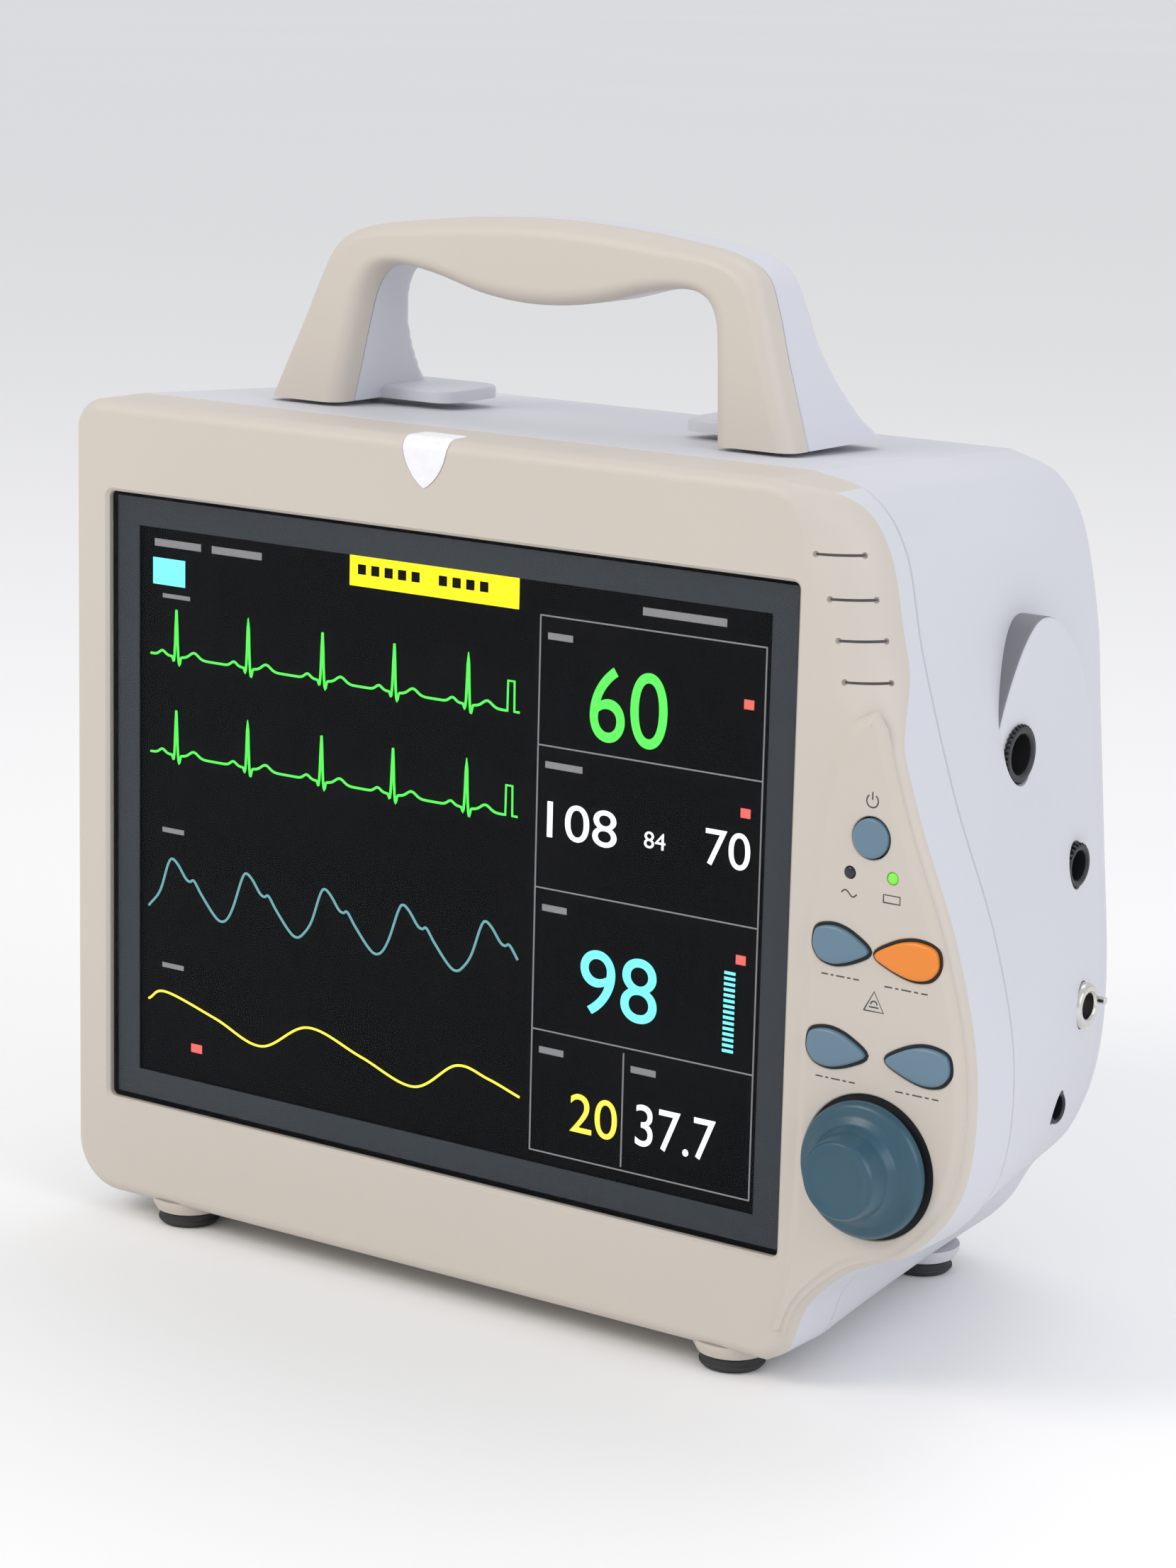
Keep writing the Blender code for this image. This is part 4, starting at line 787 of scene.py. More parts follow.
cutters = [rimmed_hole(node + "_cut", key_outline(node, KEY_GAP), POD_FACE, INNER_FRONT + KEY_BORE)
           for node in KEY_NODES]
cutters.append(rimmed_hole("power_cut", circle(POWER_AT, POWER_RADIUS + POWER_GAP, 64), POD_FACE,
                           THROUGH))
for node in LAMPS:
    place, radius = round_place(node)
    cutters.append(rimmed_hole(node + "_cut", circle(place, radius + LAMP_GAP, 32), POD_FACE,
                               THROUGH, LAMP_RIM))
cutters.append(rimmed_hole("knob_cut", circle(KNOB_AT, KNOB_RADIUS + KNOB_GAP, 96), POD_FACE,
                           POD_FACE + KNOB_RECESS))
cutters.append(turned("shaft_cut", "Y", KNOB_AT, [(SHAFT_BORE, POD_FACE), (SHAFT_BORE, THROUGH)],
                      sides=32))

window = []
for grow, y in WINDOW_RIM:
    ring = rounded_box((window_low.x - grow * MM, window_low.z - grow * MM),
                       (window_high.x + grow * MM, window_high.z + grow * MM),
                       (WINDOW_CORNER + grow) * MM)
    window.append([(p.x, FRONT + y * MM, p.y) for p in ring])
cutters.append(loft("window_cut", window))
carve(front_shell, cutters)
print("front shell after the openings:", len(front_shell.data.polygons))


# %% [markdown]
# Four short grooves with a round dot at each end decorate the upper right shoulder. Each is a
# tube that follows the fillet's surface, so the cut has the same depth all along. A thinner,
# darker tube at the bottom of each groove is painted shade, where the real groove is always
# in shadow.

# %% Grooves on the shoulder
GROOVES = [(0.924, 98.2, 108.6), (0.877, 102.8, 112.2), (0.833, 105.6, 114.9),
           (0.789, 107.9, 117.3)]
GROOVE_RADIUS, GROOVE_SINK, DOT_RADIUS = 0.42 * MM, 0.05 * MM, 0.85 * MM
SHADE_TUBE_RADIUS, SHADE_TUBE_SINK = 0.26 * MM, 0.38 * MM
DOT_ANGLES = (3, 20, 40, 60, 80, 100, 120, 140, 160, 177)


def groove_path(share, start, end, sink, steps=20):
    path = []
    for i in range(steps + 1):
        x, z = (start + (end - start) * i / steps) * MM, level(share)
        path.append((x, front_y(x, z) + sink, z))
    return path


groove_paths = [groove_path(*groove, GROOVE_SINK) for groove in GROOVES]
channel = swept("groove_cut", groove_paths, GROOVE_RADIUS, case_beige)
dots = [path[i] for path in groove_paths for i in (0, -1)]
half_round = [(DOT_RADIUS * math.sin(math.radians(a)), -DOT_RADIUS * math.cos(math.radians(a)))
              for a in DOT_ANGLES]
ball = turned("dot", "Y", (0.0, 0.0), half_round, sides=20)
dot_cut = stamped("dot_cut", ball, dots, case_beige)
carve(front_shell, [channel, dot_cut])

# The darker tube is painted shade at the bottom of each groove.
groove_shade_paths = [groove_path(*groove, SHADE_TUBE_SINK) for groove in GROOVES]
groove_shade_tube = swept("groove_shade", groove_shade_paths, SHADE_TUBE_RADIUS, ink_and_groove_shade)
settled_on(polish(groove_shade_tube), "monitor", "seal_rubber")


# %% [markdown]
# The alarm lamp's lens is a drop that starts on top, bends over the edge and ends in a point on
# the face. A grid follows that bent path; its rows get their width from the drop's outline and
# a low dome across. The same grid, a little larger, cuts its seat.

# %% Alarm lens
lens_low, lens_high = corners("alarm_lens")
LENS_X, LENS_HALF = (lens_low.x + lens_high.x) / 2, (lens_high.x - lens_low.x) / 2
LENS_TIP = lens_low.z
LENS_DROP, LENS_FULL = 2.1, 0.75
LENS_LIFT, LENS_LEAST = 0.15 * MM, 0.25 * MM


def lens_path(steps=10):
    """Points from the back of the lens on top, round the edge, to its tip: place, normal, drop."""
    back, bend = lens_high.y, EDGE_RADIUS
    path = [((back + (FRONT + bend - back) * i / steps, TOP), (0.0, 1.0)) for i in range(steps)]
    for i in range(steps + 1):
        a = math.radians(90.0 + 90.0 * i / steps)
        path.append(((FRONT + bend + bend * math.cos(a), TOP - bend + bend * math.sin(a)),
                     (math.cos(a), math.sin(a))))
    low = TOP - bend
    path += [((FRONT, low + (LENS_TIP - low) * i / (2 * steps)), (-1.0, 0.0))
             for i in range(1, 2 * steps + 1)]
    return path


def lens_solid(name, grow, dome, depth, paints=()):
    path, columns = lens_path(), 17
    total = TOP - LENS_TIP
    top_rows, under_rows = [], []
    for (y, z), (ny, nz) in path:
        drop = min(1.0, max(0.0, (TOP - z) / total))
        width = max(LENS_LEAST, LENS_HALF * (1.0 - drop ** LENS_DROP) ** LENS_FULL) + grow
        top, under = [], []
        for c in range(columns):
            u = 2.0 * c / (columns - 1) - 1.0
            lift = LENS_LIFT + dome * math.sqrt(max(0.0, 1.0 - u ** 4)) * (1.0 - drop ** 3)
            top.append((LENS_X + u * width, y + ny * lift, z + nz * lift))
            under.append((LENS_X + u * width, y - ny * depth, z - nz * depth))
        top_rows.append(top)
        under_rows.append(under)
    rings = [top + under[::-1] for top, under in zip(top_rows, under_rows)]
    return loft(name, rings, paints)


carve(front_shell, [lens_solid("lens_cut", 0.25 * MM, 2.0 * MM, 2.2 * MM)])
alarm = lens_solid("alarm_lamp_lens", 0.0, 0.25 * MM, 1.8 * MM, (lens_milky,))
settled_on(polish(alarm, 35.0), "monitor", "lens_white", "alarm_lens")
settled_on(polish(front_shell, 28.0), "monitor", "housing_beige", "front_housing")


# %% [markdown]
# The rear shell is the deep one. Its section blends from the parting outline to the narrower
# rear outline, then a large fillet rounds the back. Walls, mouth and fillet are one loft, so
# the shell is closed and has a real thickness at every hole.

# %% Rear shell
REAR_START = REAR - REAR_RADIUS
ALONG_DEPTH = 18


def section_at(y):
    share = (y - PARTING) / (REAR_START - PARTING)
    return [a.lerp(b, share) for a, b in zip(OUTLINE, REAR_OUTLINE)]


def rear_rings():
    outer, inner = [], []
    mouth = PARTING + HALF_GAP
    for turn in (1.0, 0.35, 0.0):
        drawn = inset(section_at(mouth), RIM_ROUND * turn ** 2)
        outer.append([(p.x, mouth + RIM_ROUND * (1 - turn), p.y) for p in drawn])
    for step in range(1, ALONG_DEPTH + 1):
        y = mouth + (REAR_START - mouth) * step / ALONG_DEPTH
        outer.append([(p.x, y, p.y) for p in section_at(y)])
    for share in (0.0, 0.5, 1.0):
        y = mouth + (REAR_START - mouth) * share
        inner.append([(p.x, y, p.y) for p in inset(section_at(y), WALL)])
    for rings, wall, steps in ((outer, 0.0, FINE), (inner, WALL, 4)):
        for step in range(1, steps + 1):
            angle = math.radians(90.0 * step / steps)
            radius = REAR_RADIUS - wall
            drawn = inset(REAR_OUTLINE, wall + radius * (1.0 - math.cos(angle)))
            rings.append([(p.x, REAR_START + radius * math.sin(angle), p.y) for p in drawn])
    return outer, inner


outer_rings, inner_rings = rear_rings()
# Its second slot is the leaf rim's painted shade, kept when the leaf is joined on.
rear_shell = loft("rear_shell", inner_rings[::-1] + outer_rings, (case_white, leaf_rim_shade))


# %% [markdown]
# A dark band fills the gap between the two shells as painted shade, so that the parting line
# shows as a thin dark line. It is a closed band just inside the outline, so it fills the gap
# without standing proud.

# %% Painted shade between the shells
PARTING_SHADE_SECTION = ((2.0, -0.3), (0.45, -0.3), (0.45, 0.3), (2.0, 0.3))
parting_shade_rings = []
for grow, y in PARTING_SHADE_SECTION:
    parting_shade_rings.append([(p.x, PARTING + y * MM, p.y) for p in inset(OUTLINE, grow * MM)])
# The band is painted shade: a dark sheet where the gap between the shells is in shadow.
parting_shade_band = loft("shell_gasket", parting_shade_rings, (parting_gap_shade,), closed=True)
settled_on(polish(parting_shade_band), "monitor", "seal_rubber")


# %% [markdown]
# A flat leaf stands on the bulging right side to carry the upper socket square. It has a soft
# edge of its own where it leaves the shell, and its side and the outer part of that edge are
# painted dark grey as painted shade of the step. The four wells for the long screws are tubes
# that stop where the shell's skin is, so each is first cut to the shell's shape.

# %% Socket leaf, foot bosses and screw wells
PANEL_LEAF = [(55.0, 0.824), (46.0, 0.798), (37.0, 0.738), (32.0, 0.678), (30.5, 0.614),
              (32.0, 0.55), (43.0, 0.485), (63.0, 0.45), (80.0, 0.475), (87.0, 0.56),
              (86.0, 0.67), (78.0, 0.76), (66.0, 0.812)]
SOCKET_SEAT, LEAF_ROUND = 14.0 * MM, 2.0 * MM
PANEL_FACE = corners("ecg_socket")[0].x + SOCKET_SEAT


def leaf_rings():
    points = [(PARTING + back * MM, level(share)) for back, share in PANEL_LEAF]
    path = smooth_path([points[-1]] + points + points[:2], 8)[8:-9]
    rings = [[(PANEL_FACE - SOCKET_SEAT, p.x, p.y) for p in path]]
    for i in range(7):
        angle = math.radians(15.0 * i)
        drawn = inset(path, LEAF_ROUND * (1.0 - math.cos(angle)))
        rings.append([(PANEL_FACE - LEAF_ROUND * (1.0 - math.sin(angle)), p.x, p.y) for p in drawn])
    return rings


SCREW_NODES = [f"housing_screw_{i}" for i in (1, 2, 3, 4)]


def middle(node):
    low, high = corners(node)
    return (low + high) / 2


WELL_RADIUS, WELL_FLOOR, SHANK_BORE, HEAD_BORE = 5.5 * MM, 2.0 * MM, 1.8 * MM, 4.0 * MM
well_front = PARTING + 2.3 * MM
WELLS = [(middle(node).x, well_front, middle(node).z) for node in SCREW_NODES]
well = turned("well", "Y", (0.0, 0.0), [(WELL_RADIUS, 0.0), (WELL_RADIUS, REAR - well_front)])
wells = stamped("wells", well, WELLS, case_white)
carve(wells, [loft("shape", outer_rings)], "INTERSECT")
# The leaf's side and the outer rings of its edge take the second slot: painted shade of its step.
leaf = loft("leaf", leaf_rings(), (case_white, leaf_rim_shade), lambda ring, i: 1 if ring < 3 else 0)
carve(rear_shell, [leaf, wells, boss("foot_rear_left"), boss("foot_rear_right")], "UNION")
well_cut = turned("well_cut", "Y", (0.0, 0.0), [
    (SHANK_BORE, -MM), (SHANK_BORE, WELL_FLOOR), (HEAD_BORE, WELL_FLOOR),
    (HEAD_BORE, REAR + MM - well_front)])
carve(rear_shell, [stamped("well_cuts", well_cut, WELLS, case_white)])
print("rear shell with its leaf:", len(rear_shell.data.polygons))


# %% [markdown]
# Warm air has to leave the case, and the speaker has to be heard. Both are groups of small
# openings in the rear wall, stamped from one cutter each, so every slot is exactly alike.

# %% Openings in the rear shell
def pill(length, radius, steps=8):
    half = length / 2 - radius
    return arc((0.0, half), radius, 0, 180, steps) + arc((0.0, -half), radius, 180, 360, steps)


CUT_LENGTH, CUT_START = 8.0 * MM, REAR - 4.0 * MM
VENT_LENGTH, VENT_HALF, VENT_COUNT, VENT_LEVELS = 20.0 * MM, 1.1 * MM, 14, (0.52, 0.64)
VENT_EDGE, VENT_PITCH = 24.0, 5.2
SOUND_RADIUS, SOUND_RINGS = 1.2 * MM, ((5.0, 6), (10.0, 12), (15.0, 18), (20.0, 24))
slot_cutter = prism("vent", "Y", pill(VENT_LENGTH, VENT_HALF), 0.0, CUT_LENGTH)
slot_places = [(LEFT + (VENT_EDGE + VENT_PITCH * i) * MM, CUT_START, level(z))
               for i in range(VENT_COUNT) for z in VENT_LEVELS]
hole_cutter = turned("sound", "Y", (0.0, 0.0), [(SOUND_RADIUS, 0.0), (SOUND_RADIUS, CUT_LENGTH)],
                     sides=16)
speaker = middle("speaker")
hole_places = [(speaker.x, CUT_START, speaker.z)]
for ring, count in SOUND_RINGS:
    hole_places += [(x, CUT_START, z) for x, z in circle((speaker.x, speaker.z), ring * MM, count)]
cutters = [stamped("vents", slot_cutter, slot_places, case_white),
           stamped("sounds", hole_cutter, hole_places, case_white)]

SOCKET_NODES = ("ecg_socket", "spo2_socket", "nibp_port", "temperature_jack")
BARREL_STEP, PORT_CUT, PORT_CORNER, POST_BORE = 1.2 * MM, 6.0 * MM, 0.8 * MM, 3.3 * MM
DOOR_GAP, DOOR_CORNER = 0.4 * MM, 1.5 * MM
for node in SOCKET_NODES:
    inner_end = corners(node)[0].x
    place, radius = round_place(node, "yz", "z")
    seat, hole, barrel = inner_end + SOCKET_SEAT, radius + GAP, radius - BARREL_STEP + GAP
    cutters.append(turned(node + "_cut", "X", place, [
        (barrel, inner_end - 3 * MM), (barrel, seat), (hole, seat), (hole, RIGHT)]))
for node in ("power_inlet", "network_port"):
    low, high = corners(node)
    ring = rounded_box((low.x - GAP, low.z - GAP), (high.x + GAP, high.z + GAP), PORT_CORNER)
    cutters.append(prism(node + "_cut", "Y", ring, REAR - PORT_CUT, REAR + MM))
post = middle("ground_post")
cutters.append(turned("post_cut", "Y", (post.x, post.z), [(POST_BORE, REAR - PORT_CUT),
                                                          (POST_BORE, REAR + MM)], sides=32))
door_low, door_high = corners("battery_door")
door_ring = rounded_box((door_low.y - DOOR_GAP, door_low.z - DOOR_GAP),
                        (door_high.y + DOOR_GAP, door_high.z + DOOR_GAP), DOOR_CORNER)
cutters.append(prism("door_cut", "X", door_ring, LEFT - MM, LEFT + CUT_LENGTH))
carve(rear_shell, cutters)
settled_on(polish(rear_shell, 28.0), "monitor", "housing_white", "rear_housing")


# %% [markdown]
# The handle is two lofts that follow one arch: a narrow cover in front, and a frame behind it
# that spreads into feet on the case. The seam between them runs all along the arch, and each
# section has rounded outer corners that a hand can close round.

# %% Handle
HANDLE_OUTER = [(88.75, 0.0), (84.0, 12.0), (79.3, 24.0), (75.3, 35.0), (70.5, 44.3),
                (61.0, 49.4), (42.0, 52.3), (21.0, 54.3), (0.0, 55.0)]
HANDLE_INNER = [(63.5, 0.0), (61.9, 12.0), (60.3, 24.0), (58.6, 32.5), (54.8, 37.8),
                (47.5, 39.6), (35.0, 37.8), (17.5, 33.5), (0.0, 32.0)]
HANDLE_DEPTH = [(0.0, 49.0), (6.0, 41.0), (16.0, 33.0), (26.0, 28.0), (41.0, 25.0), (55.0, 24.0)]
grip_low, grip_high = corners("handle_front")
HANDLE_X, HANDLE_BASE = (grip_low.x + grip_high.x) / 2, grip_low.z
HANDLE_RISE = grip_high.z - grip_low.z
HANDLE_FRONT, HANDLE_LEAN = 40.0 * MM, 8.0 * MM
COVER_DEPTH, GRIP_ROUND = 9.0 * MM, 5.0 * MM
SEAM = ((1.0, 0.5), (0.985, 0.15), (0.015, 0.15), (0.0, 0.5))
PAD_NEAR, PAD_FAR, PAD_FRONT, PAD_BACK, PAD_CORNER = 39.5, 71.5, 61.0, 88.0, 6.0
PAD_STEPS = ((0.0, 0.0), (0.0, 2.6), (0.3, 3.3), (1.0, 3.6))
depth_curve = smooth_path([(h * MM, d * MM) for h, d in HANDLE_DEPTH], 10)


def handle_depth(rise):
    return min(depth_curve, key=lambda p: abs(p.x - rise)).y


def grip_front(rise):
    return FRONT + HANDLE_FRONT + HANDLE_LEAN * rise / HANDLE_RISE


def grip_rings(front_part, steps=10):
    edges = []
    for half in (HANDLE_OUTER, HANDLE_INNER):
        points = [(x * MM, z * MM) for x, z in half]
        edges.append(smooth_path(points + [(-x, z) for x, z in points[-2::-1]], 8))
    turns = [math.radians(90.0 * i / steps) for i in range(steps + 1)]
    rings = []
    for outer, inner in zip(*edges):
        width = (outer - inner).length
        half = [(1.0 - GRIP_ROUND * (1.0 - math.sin(a)) / width, GRIP_ROUND * (1.0 - math.cos(a)))
                for a in turns]
        ring = []
        for share, back in [(1.0 - s, c) for s, c in half[::-1]] + half:
            spot = inner.lerp(outer, share)
            reach = back if front_part else handle_depth(spot.y) - back
            ring.append((HANDLE_X + spot.x, grip_front(spot.y) + reach, HANDLE_BASE + spot.y))
        side = -1.0 if front_part else 1.0
        for share, pull in SEAM:
            spot = inner.lerp(outer, share)
            split = COVER_DEPTH + side * pull * MM
            ring.append((HANDLE_X + spot.x, grip_front(spot.y) + split, HANDLE_BASE + spot.y))
        rings.append(ring)
    return rings


cover = loft("grip_cover", grip_rings(True), (case_beige,))
settled_on(polish(cover, 35.0), "monitor", "housing_beige", "handle_front")

grip = loft("grip_frame", grip_rings(False), (grip_white,))
pads = []
for side in (-1, 1):
    near, far = sorted((HANDLE_X + side * PAD_NEAR * MM, HANDLE_X + side * PAD_FAR * MM))
    rings = []
    for shrink, up in PAD_STEPS:
        ring = rounded_box((near + shrink * MM, FRONT + (PAD_FRONT + shrink) * MM),
                           (far - shrink * MM, FRONT + (PAD_BACK - shrink) * MM),
                           (PAD_CORNER - shrink) * MM)
        rings.append([(p.x, p.y, HANDLE_BASE + up * MM) for p in ring])
    pads.append(loft(f"pad_{side}", rings))
carve(grip, pads, "UNION")
settled_on(polish(grip, 35.0), "monitor", "housing_white", "handle_rear")


# %% [markdown]
# Keys are domed leaves of hard plastic. A black ring fills the gap round each one as painted
# shade of that gap, which is why a key looks outlined from the front even though nothing is
# printed there. A wider dark ring under the knob is painted shade of its gap as well.

# %% Keys, power button and the painted shade round them
KEY_TOP = corners("freeze_key")[0].y
KEY_BACK = INNER_FRONT + GAP + 1.2 * MM
KEY_DOME = ((0.0, 0.85), (0.02, 0.55), (0.06, 0.34), (0.13, 0.19), (0.25, 0.09), (0.45, 0.03),
            (0.7, 0.0))


def key_piece(node, paint):
    centre, length = key_place(node)
    outline = key_outline(node)
    rings = [[(p.x, KEY_BACK, p.y) for p in outline]]
    for shrink, sunk in KEY_DOME:
        rings.append([(centre.x + (p.x - centre.x) * (1 - shrink), KEY_TOP + sunk * MM,
                       centre.y + (p.y - centre.y) * (1 - shrink)) for p in outline])
    return loft(node + "_cap", rings, (paint,))


for node in KEY_NODES:
    orange = node == "silence_key"
    cap = key_piece(node, key_orange if orange else key_blue)
    settled_on(polish(cap, 50.0), node + "_body", "key_orange" if orange else "key_blue", node)

power_dome = [(POWER_RADIUS, KEY_BACK), (POWER_RADIUS, POD_FACE - 0.45 * MM),
              (POWER_RADIUS - 0.25 * MM, POD_FACE - 0.8 * MM),
              (POWER_RADIUS - 1.0 * MM, POD_FACE - 1.0 * MM), (2.0 * MM, POD_FACE - 0.9 * MM),
              (0.1 * MM, POD_FACE - 0.85 * MM)]
button = turned("power_cap", "Y", POWER_AT, rounded_profile(power_dome, 0.5 * MM), (key_blue,))
settled_on(polish(button, 50.0), "power_button_body", "key_blue", "power_button")


# A dark ring that fills a gap: painted shade where the gap is in shadow.
def gap_shade_ring(name, inner, outer, front, back):
    rings = [[(p.x, y, p.y) for p in ring] for ring, y in (
        (inner, back), (outer, back), (outer, front + 0.1 * MM), (outer, front),
        (inner, front), (inner, front + 0.1 * MM))]
    return loft(name, rings, (seal_rubber,), closed=True)


SHADE_RING_INNER, SHADE_RING_OUTER, SHADE_RING_SINK = 0.12 * MM, 0.75 * MM, 0.15 * MM
KNOB_SHADE_INNER, KNOB_SHADE_OUTER, KNOB_SHADE_FRONT, KNOB_SHADE_BACK = 4.0 * MM, 1.1 * MM, 1.0 * MM, 1.45 * MM
gap_shade_rings = [gap_shade_ring(node + "_collar", key_outline(node, SHADE_RING_INNER), key_outline(node, SHADE_RING_OUTER),
                  POD_FACE + SHADE_RING_SINK, INNER_FRONT - GAP) for node in KEY_NODES]
gap_shade_rings.append(gap_shade_ring("knob_washer", circle(KNOB_AT, KNOB_SHADE_INNER, 96),
                      circle(KNOB_AT, KNOB_RADIUS + KNOB_SHADE_OUTER, 96),
                      POD_FACE + KNOB_SHADE_FRONT, POD_FACE + KNOB_SHADE_BACK))
mat = refined("key_seal", "key_collars", seal_rubber, 0.15 * MM)
for piece in gap_shade_rings:
    for vertex in piece.data.vertices:
        vertex.co = piece.matrix_world @ vertex.co
with bpy.context.temp_override(active_object=mat, selected_editable_objects=[mat] + gap_shade_rings):
    bpy.ops.object.join()
settled_on(mat, "monitor", "seal_rubber", "key_seal")


# %% [markdown]
# The knob turns and can be pushed. It has a wide skirt and a narrower cap with a dished end
# where a fingertip sits, so its profile is a chain of rounded steps that is turned on its axis.

# %% Knob
KNOB_STEPS = [(1.0, 0.0), (1.0, 0.14), (0.95, 0.22), (0.80, 0.28), (0.70, 0.37), (0.635, 0.55),
              (0.60, 0.80), (0.578, 0.93), (0.54, 1.0), (0.49, 0.985), (0.40, 0.95), (0.20, 0.93),
              (0.01, 0.925)]
knob_low, knob_high = corners("control_knob")
KNOB_EDGE = 0.5 * MM
knob_depth = knob_high.y - knob_low.y
knob_profile = [(KNOB_RADIUS * r, knob_high.y - knob_depth * h) for r, h in KNOB_STEPS]
lip = [(KNOB_RADIUS - KNOB_EDGE, knob_high.y), (KNOB_RADIUS, knob_high.y - KNOB_EDGE)]
knob_profile = lip + rounded_profile(knob_profile[1:], KNOB_EDGE)
dial = turned("dial", "Y", KNOB_AT, knob_profile, (knob_teal,), 128)
settled_on(polish(dial, 40.0), "knob", "knob_teal", "control_knob")


# %% [markdown]
# The two lamps beside each other are low domes of clear plastic. Only the battery lamp is lit,
# so it takes the glow, and the mains lamp takes a dark gloss.

# %% Mains and battery lamps
for node, paint in LAMPS.items():
    place, radius = round_place(node)
    face = corners(node)[0].y
    lamp = turned(node + "_dome", "Y", place, [
        (radius, face + 4.0 * MM), (radius, face + 0.5 * MM), (radius * 0.9, face + 0.2 * MM),
        (radius * 0.6, face + 0.05 * MM), (radius * 0.1, face)], (paint,), 32)
    settled_on(polish(lamp, 60.0), "monitor", "led_green" if paint is lamp_green else "led_dark", node)


# %% [markdown]
# Symbols are printed, never raised, so they are thin lines of ink sunk to just above the
# surface. They say power, mains, battery and alarm, and a short bar stands for each label.

# %% Printed symbols
INK_Y = POD_FACE + 0.15 * MM


def ink(points):
    return [(x, INK_Y, z) for x, z in points]


def round_about(place, radius, start, end, steps=16):
    return ink([tuple(p) for p in arc(place, radius * MM, start, end, steps)])


marks = []
INK_RADIUS, POWER_MARK_UP, LABEL_DROP = 0.26 * MM, 9.6 * MM, 8.0 * MM
LABEL = ((-0.34, -0.22), (-0.17, -0.12), (-0.07, 0.08), (0.13, 0.19), (0.24, 0.34))
px, pz = POWER_AT[0], POWER_AT[1] + POWER_MARK_UP
marks += [round_about((px, pz), 1.7, 125, 415), ink([(px, pz + 0.3 * MM), (px, pz + 2.3 * MM)])]
(mx, mz), _ = round_place("mains_led_lens")
marks.append(ink([(mx + (i - 8) * 0.28 * MM, mz - 5.4 * MM + 0.8 * MM * math.sin(math.pi * i / 8))
                  for i in range(17)]))
(bx, bz), _ = round_place("battery_led_lens")
marks.append(ink([(bx + x * MM, bz + z * MM) for x, z in (
    (-2.4, -6.4), (2.4, -6.4), (2.4, -4.4), (-2.4, -4.4), (-2.4, -6.4))]))
glyph = ((key_place("record_key")[0] + key_place("menu_key")[0]
          + key_place("freeze_key")[0] + key_place("silence_key")[0]) / 4)
gx, gz = glyph.x - 0.5 * MM, glyph.y + 0.5 * MM
marks.append(ink([(gx + x * MM, gz + z * MM) for x, z in (
    (-2.9, -2.3), (2.9, -2.3), (0.0, 2.9), (-2.9, -2.3))]))
marks += [round_about((gx, gz - 0.5 * MM), 0.9, 0, 180),
          ink([(gx - 1.4 * MM, gz - 1.2 * MM), (gx + 1.4 * MM, gz - 1.2 * MM)])]
for node in KEY_NODES:
    centre, length = key_place(node)
    drop = centre.y - LABEL_DROP
    for start, end in LABEL:
        marks.append(ink([(centre.x + start * length, drop), (centre.x + end * length, drop)]))
symbols = swept("printed_marks", marks, INK_RADIUS, ink_and_groove_shade)
settled_on(polish(symbols, 60.0), "monitor", "seal_rubber")


# %% [markdown]
# The picture on the screen is drawn with the same curves as the real signals: a sharp peak and
# two low waves for each heart beat, a quick rise and a notch for each pulse, and a slow breath.

# %% Screen: traces
SCREEN = (window_low + window_high) / 2
GLOW_Y = corners("lcd_panel")[0].y - 0.12 * MM
BEATS = (-92.9, -66.6, -40.1, -15.1, 10.0)
PULSES = (-94.3, -66.8, -38.5, -10.9, 17.3)
# Each wave of a beat: its place after the beat, its height and its half-width
BEAT_WAVES = ((-5.2, 0.09, 1.5), (-1.0, -0.10, 0.35), (0.0, 1.0, 0.42), (1.1, -0.17, 0.4),
              (6.5, 0.13, 2.2))


def beat_wave(x, base, height):
    value = 0.0
    for centre, (shift, tall, wide) in ((c, w) for c in BEATS for w in BEAT_WAVES):
        value += tall * math.exp(-((x - centre - shift) / wide) ** 2)
    return base + height * value


def on_screen(points):
    return [(SCREEN.x + x * MM, GLOW_Y, SCREEN.z + z * MM) for x, z in points]


def beats(base, height):
    step = [(23.2, 0.0), (23.3, 8.2), (25.4, 8.2), (25.5, 0.0), (27.2, 0.0)]
    return on_screen([(x / 5, beat_wave(x / 5, base, height)) for x in range(-512, 113)]
                     + [(x, base + rise) for x, rise in step])


def eased(points, steps=12):
    return on_screen([tuple(p) for p in smooth_path(points, steps)])


pulse = [(-103.1, -30.5)]
for peak in PULSES:
    pulse += [(peak - 4.6, -25.6), (peak - 1.6, -17.4), (peak, -15.5), (peak + 2.2, -16.9),
              (peak + 5.0, -20.4), (peak + 6.6, -21.2), (peak + 8.2, -20.8), (peak + 11.0, -24.4)]
    if peak != PULSES[-1]:
        pulse += [(peak + 15.5, -29.4), (peak + 18.2, -31.0), (peak + 20.6, -29.8)]
breath = [(-103.1, -58.3), (-96.7, -55.3), (-78.0, -60.0), (-61.0, -65.1), (-44.1, -56.5),
          (-25.0, -61.5), (-6.3, -66.6), (8.1, -57.8), (19.0, -59.5), (29.8, -62.7)]
FRAME_LEFT, FRAME_RIGHT, FRAME_ROWS = 33.5, 104.4, (70.7, 35.8, -3.1, -42.4, -76.5)
TRACE_RADIUS, FRAME_RADIUS = 0.36, 0.22
frame_lines = [[(FRAME_LEFT, z), (FRAME_RIGHT, z)] for z in FRAME_ROWS]
frame_lines += [[(x, FRAME_ROWS[-1]), (x, FRAME_ROWS[0])] for x in (FRAME_LEFT, FRAME_RIGHT)]
frame_lines.append([(63.6, -75.5), (63.6, -44.0)])
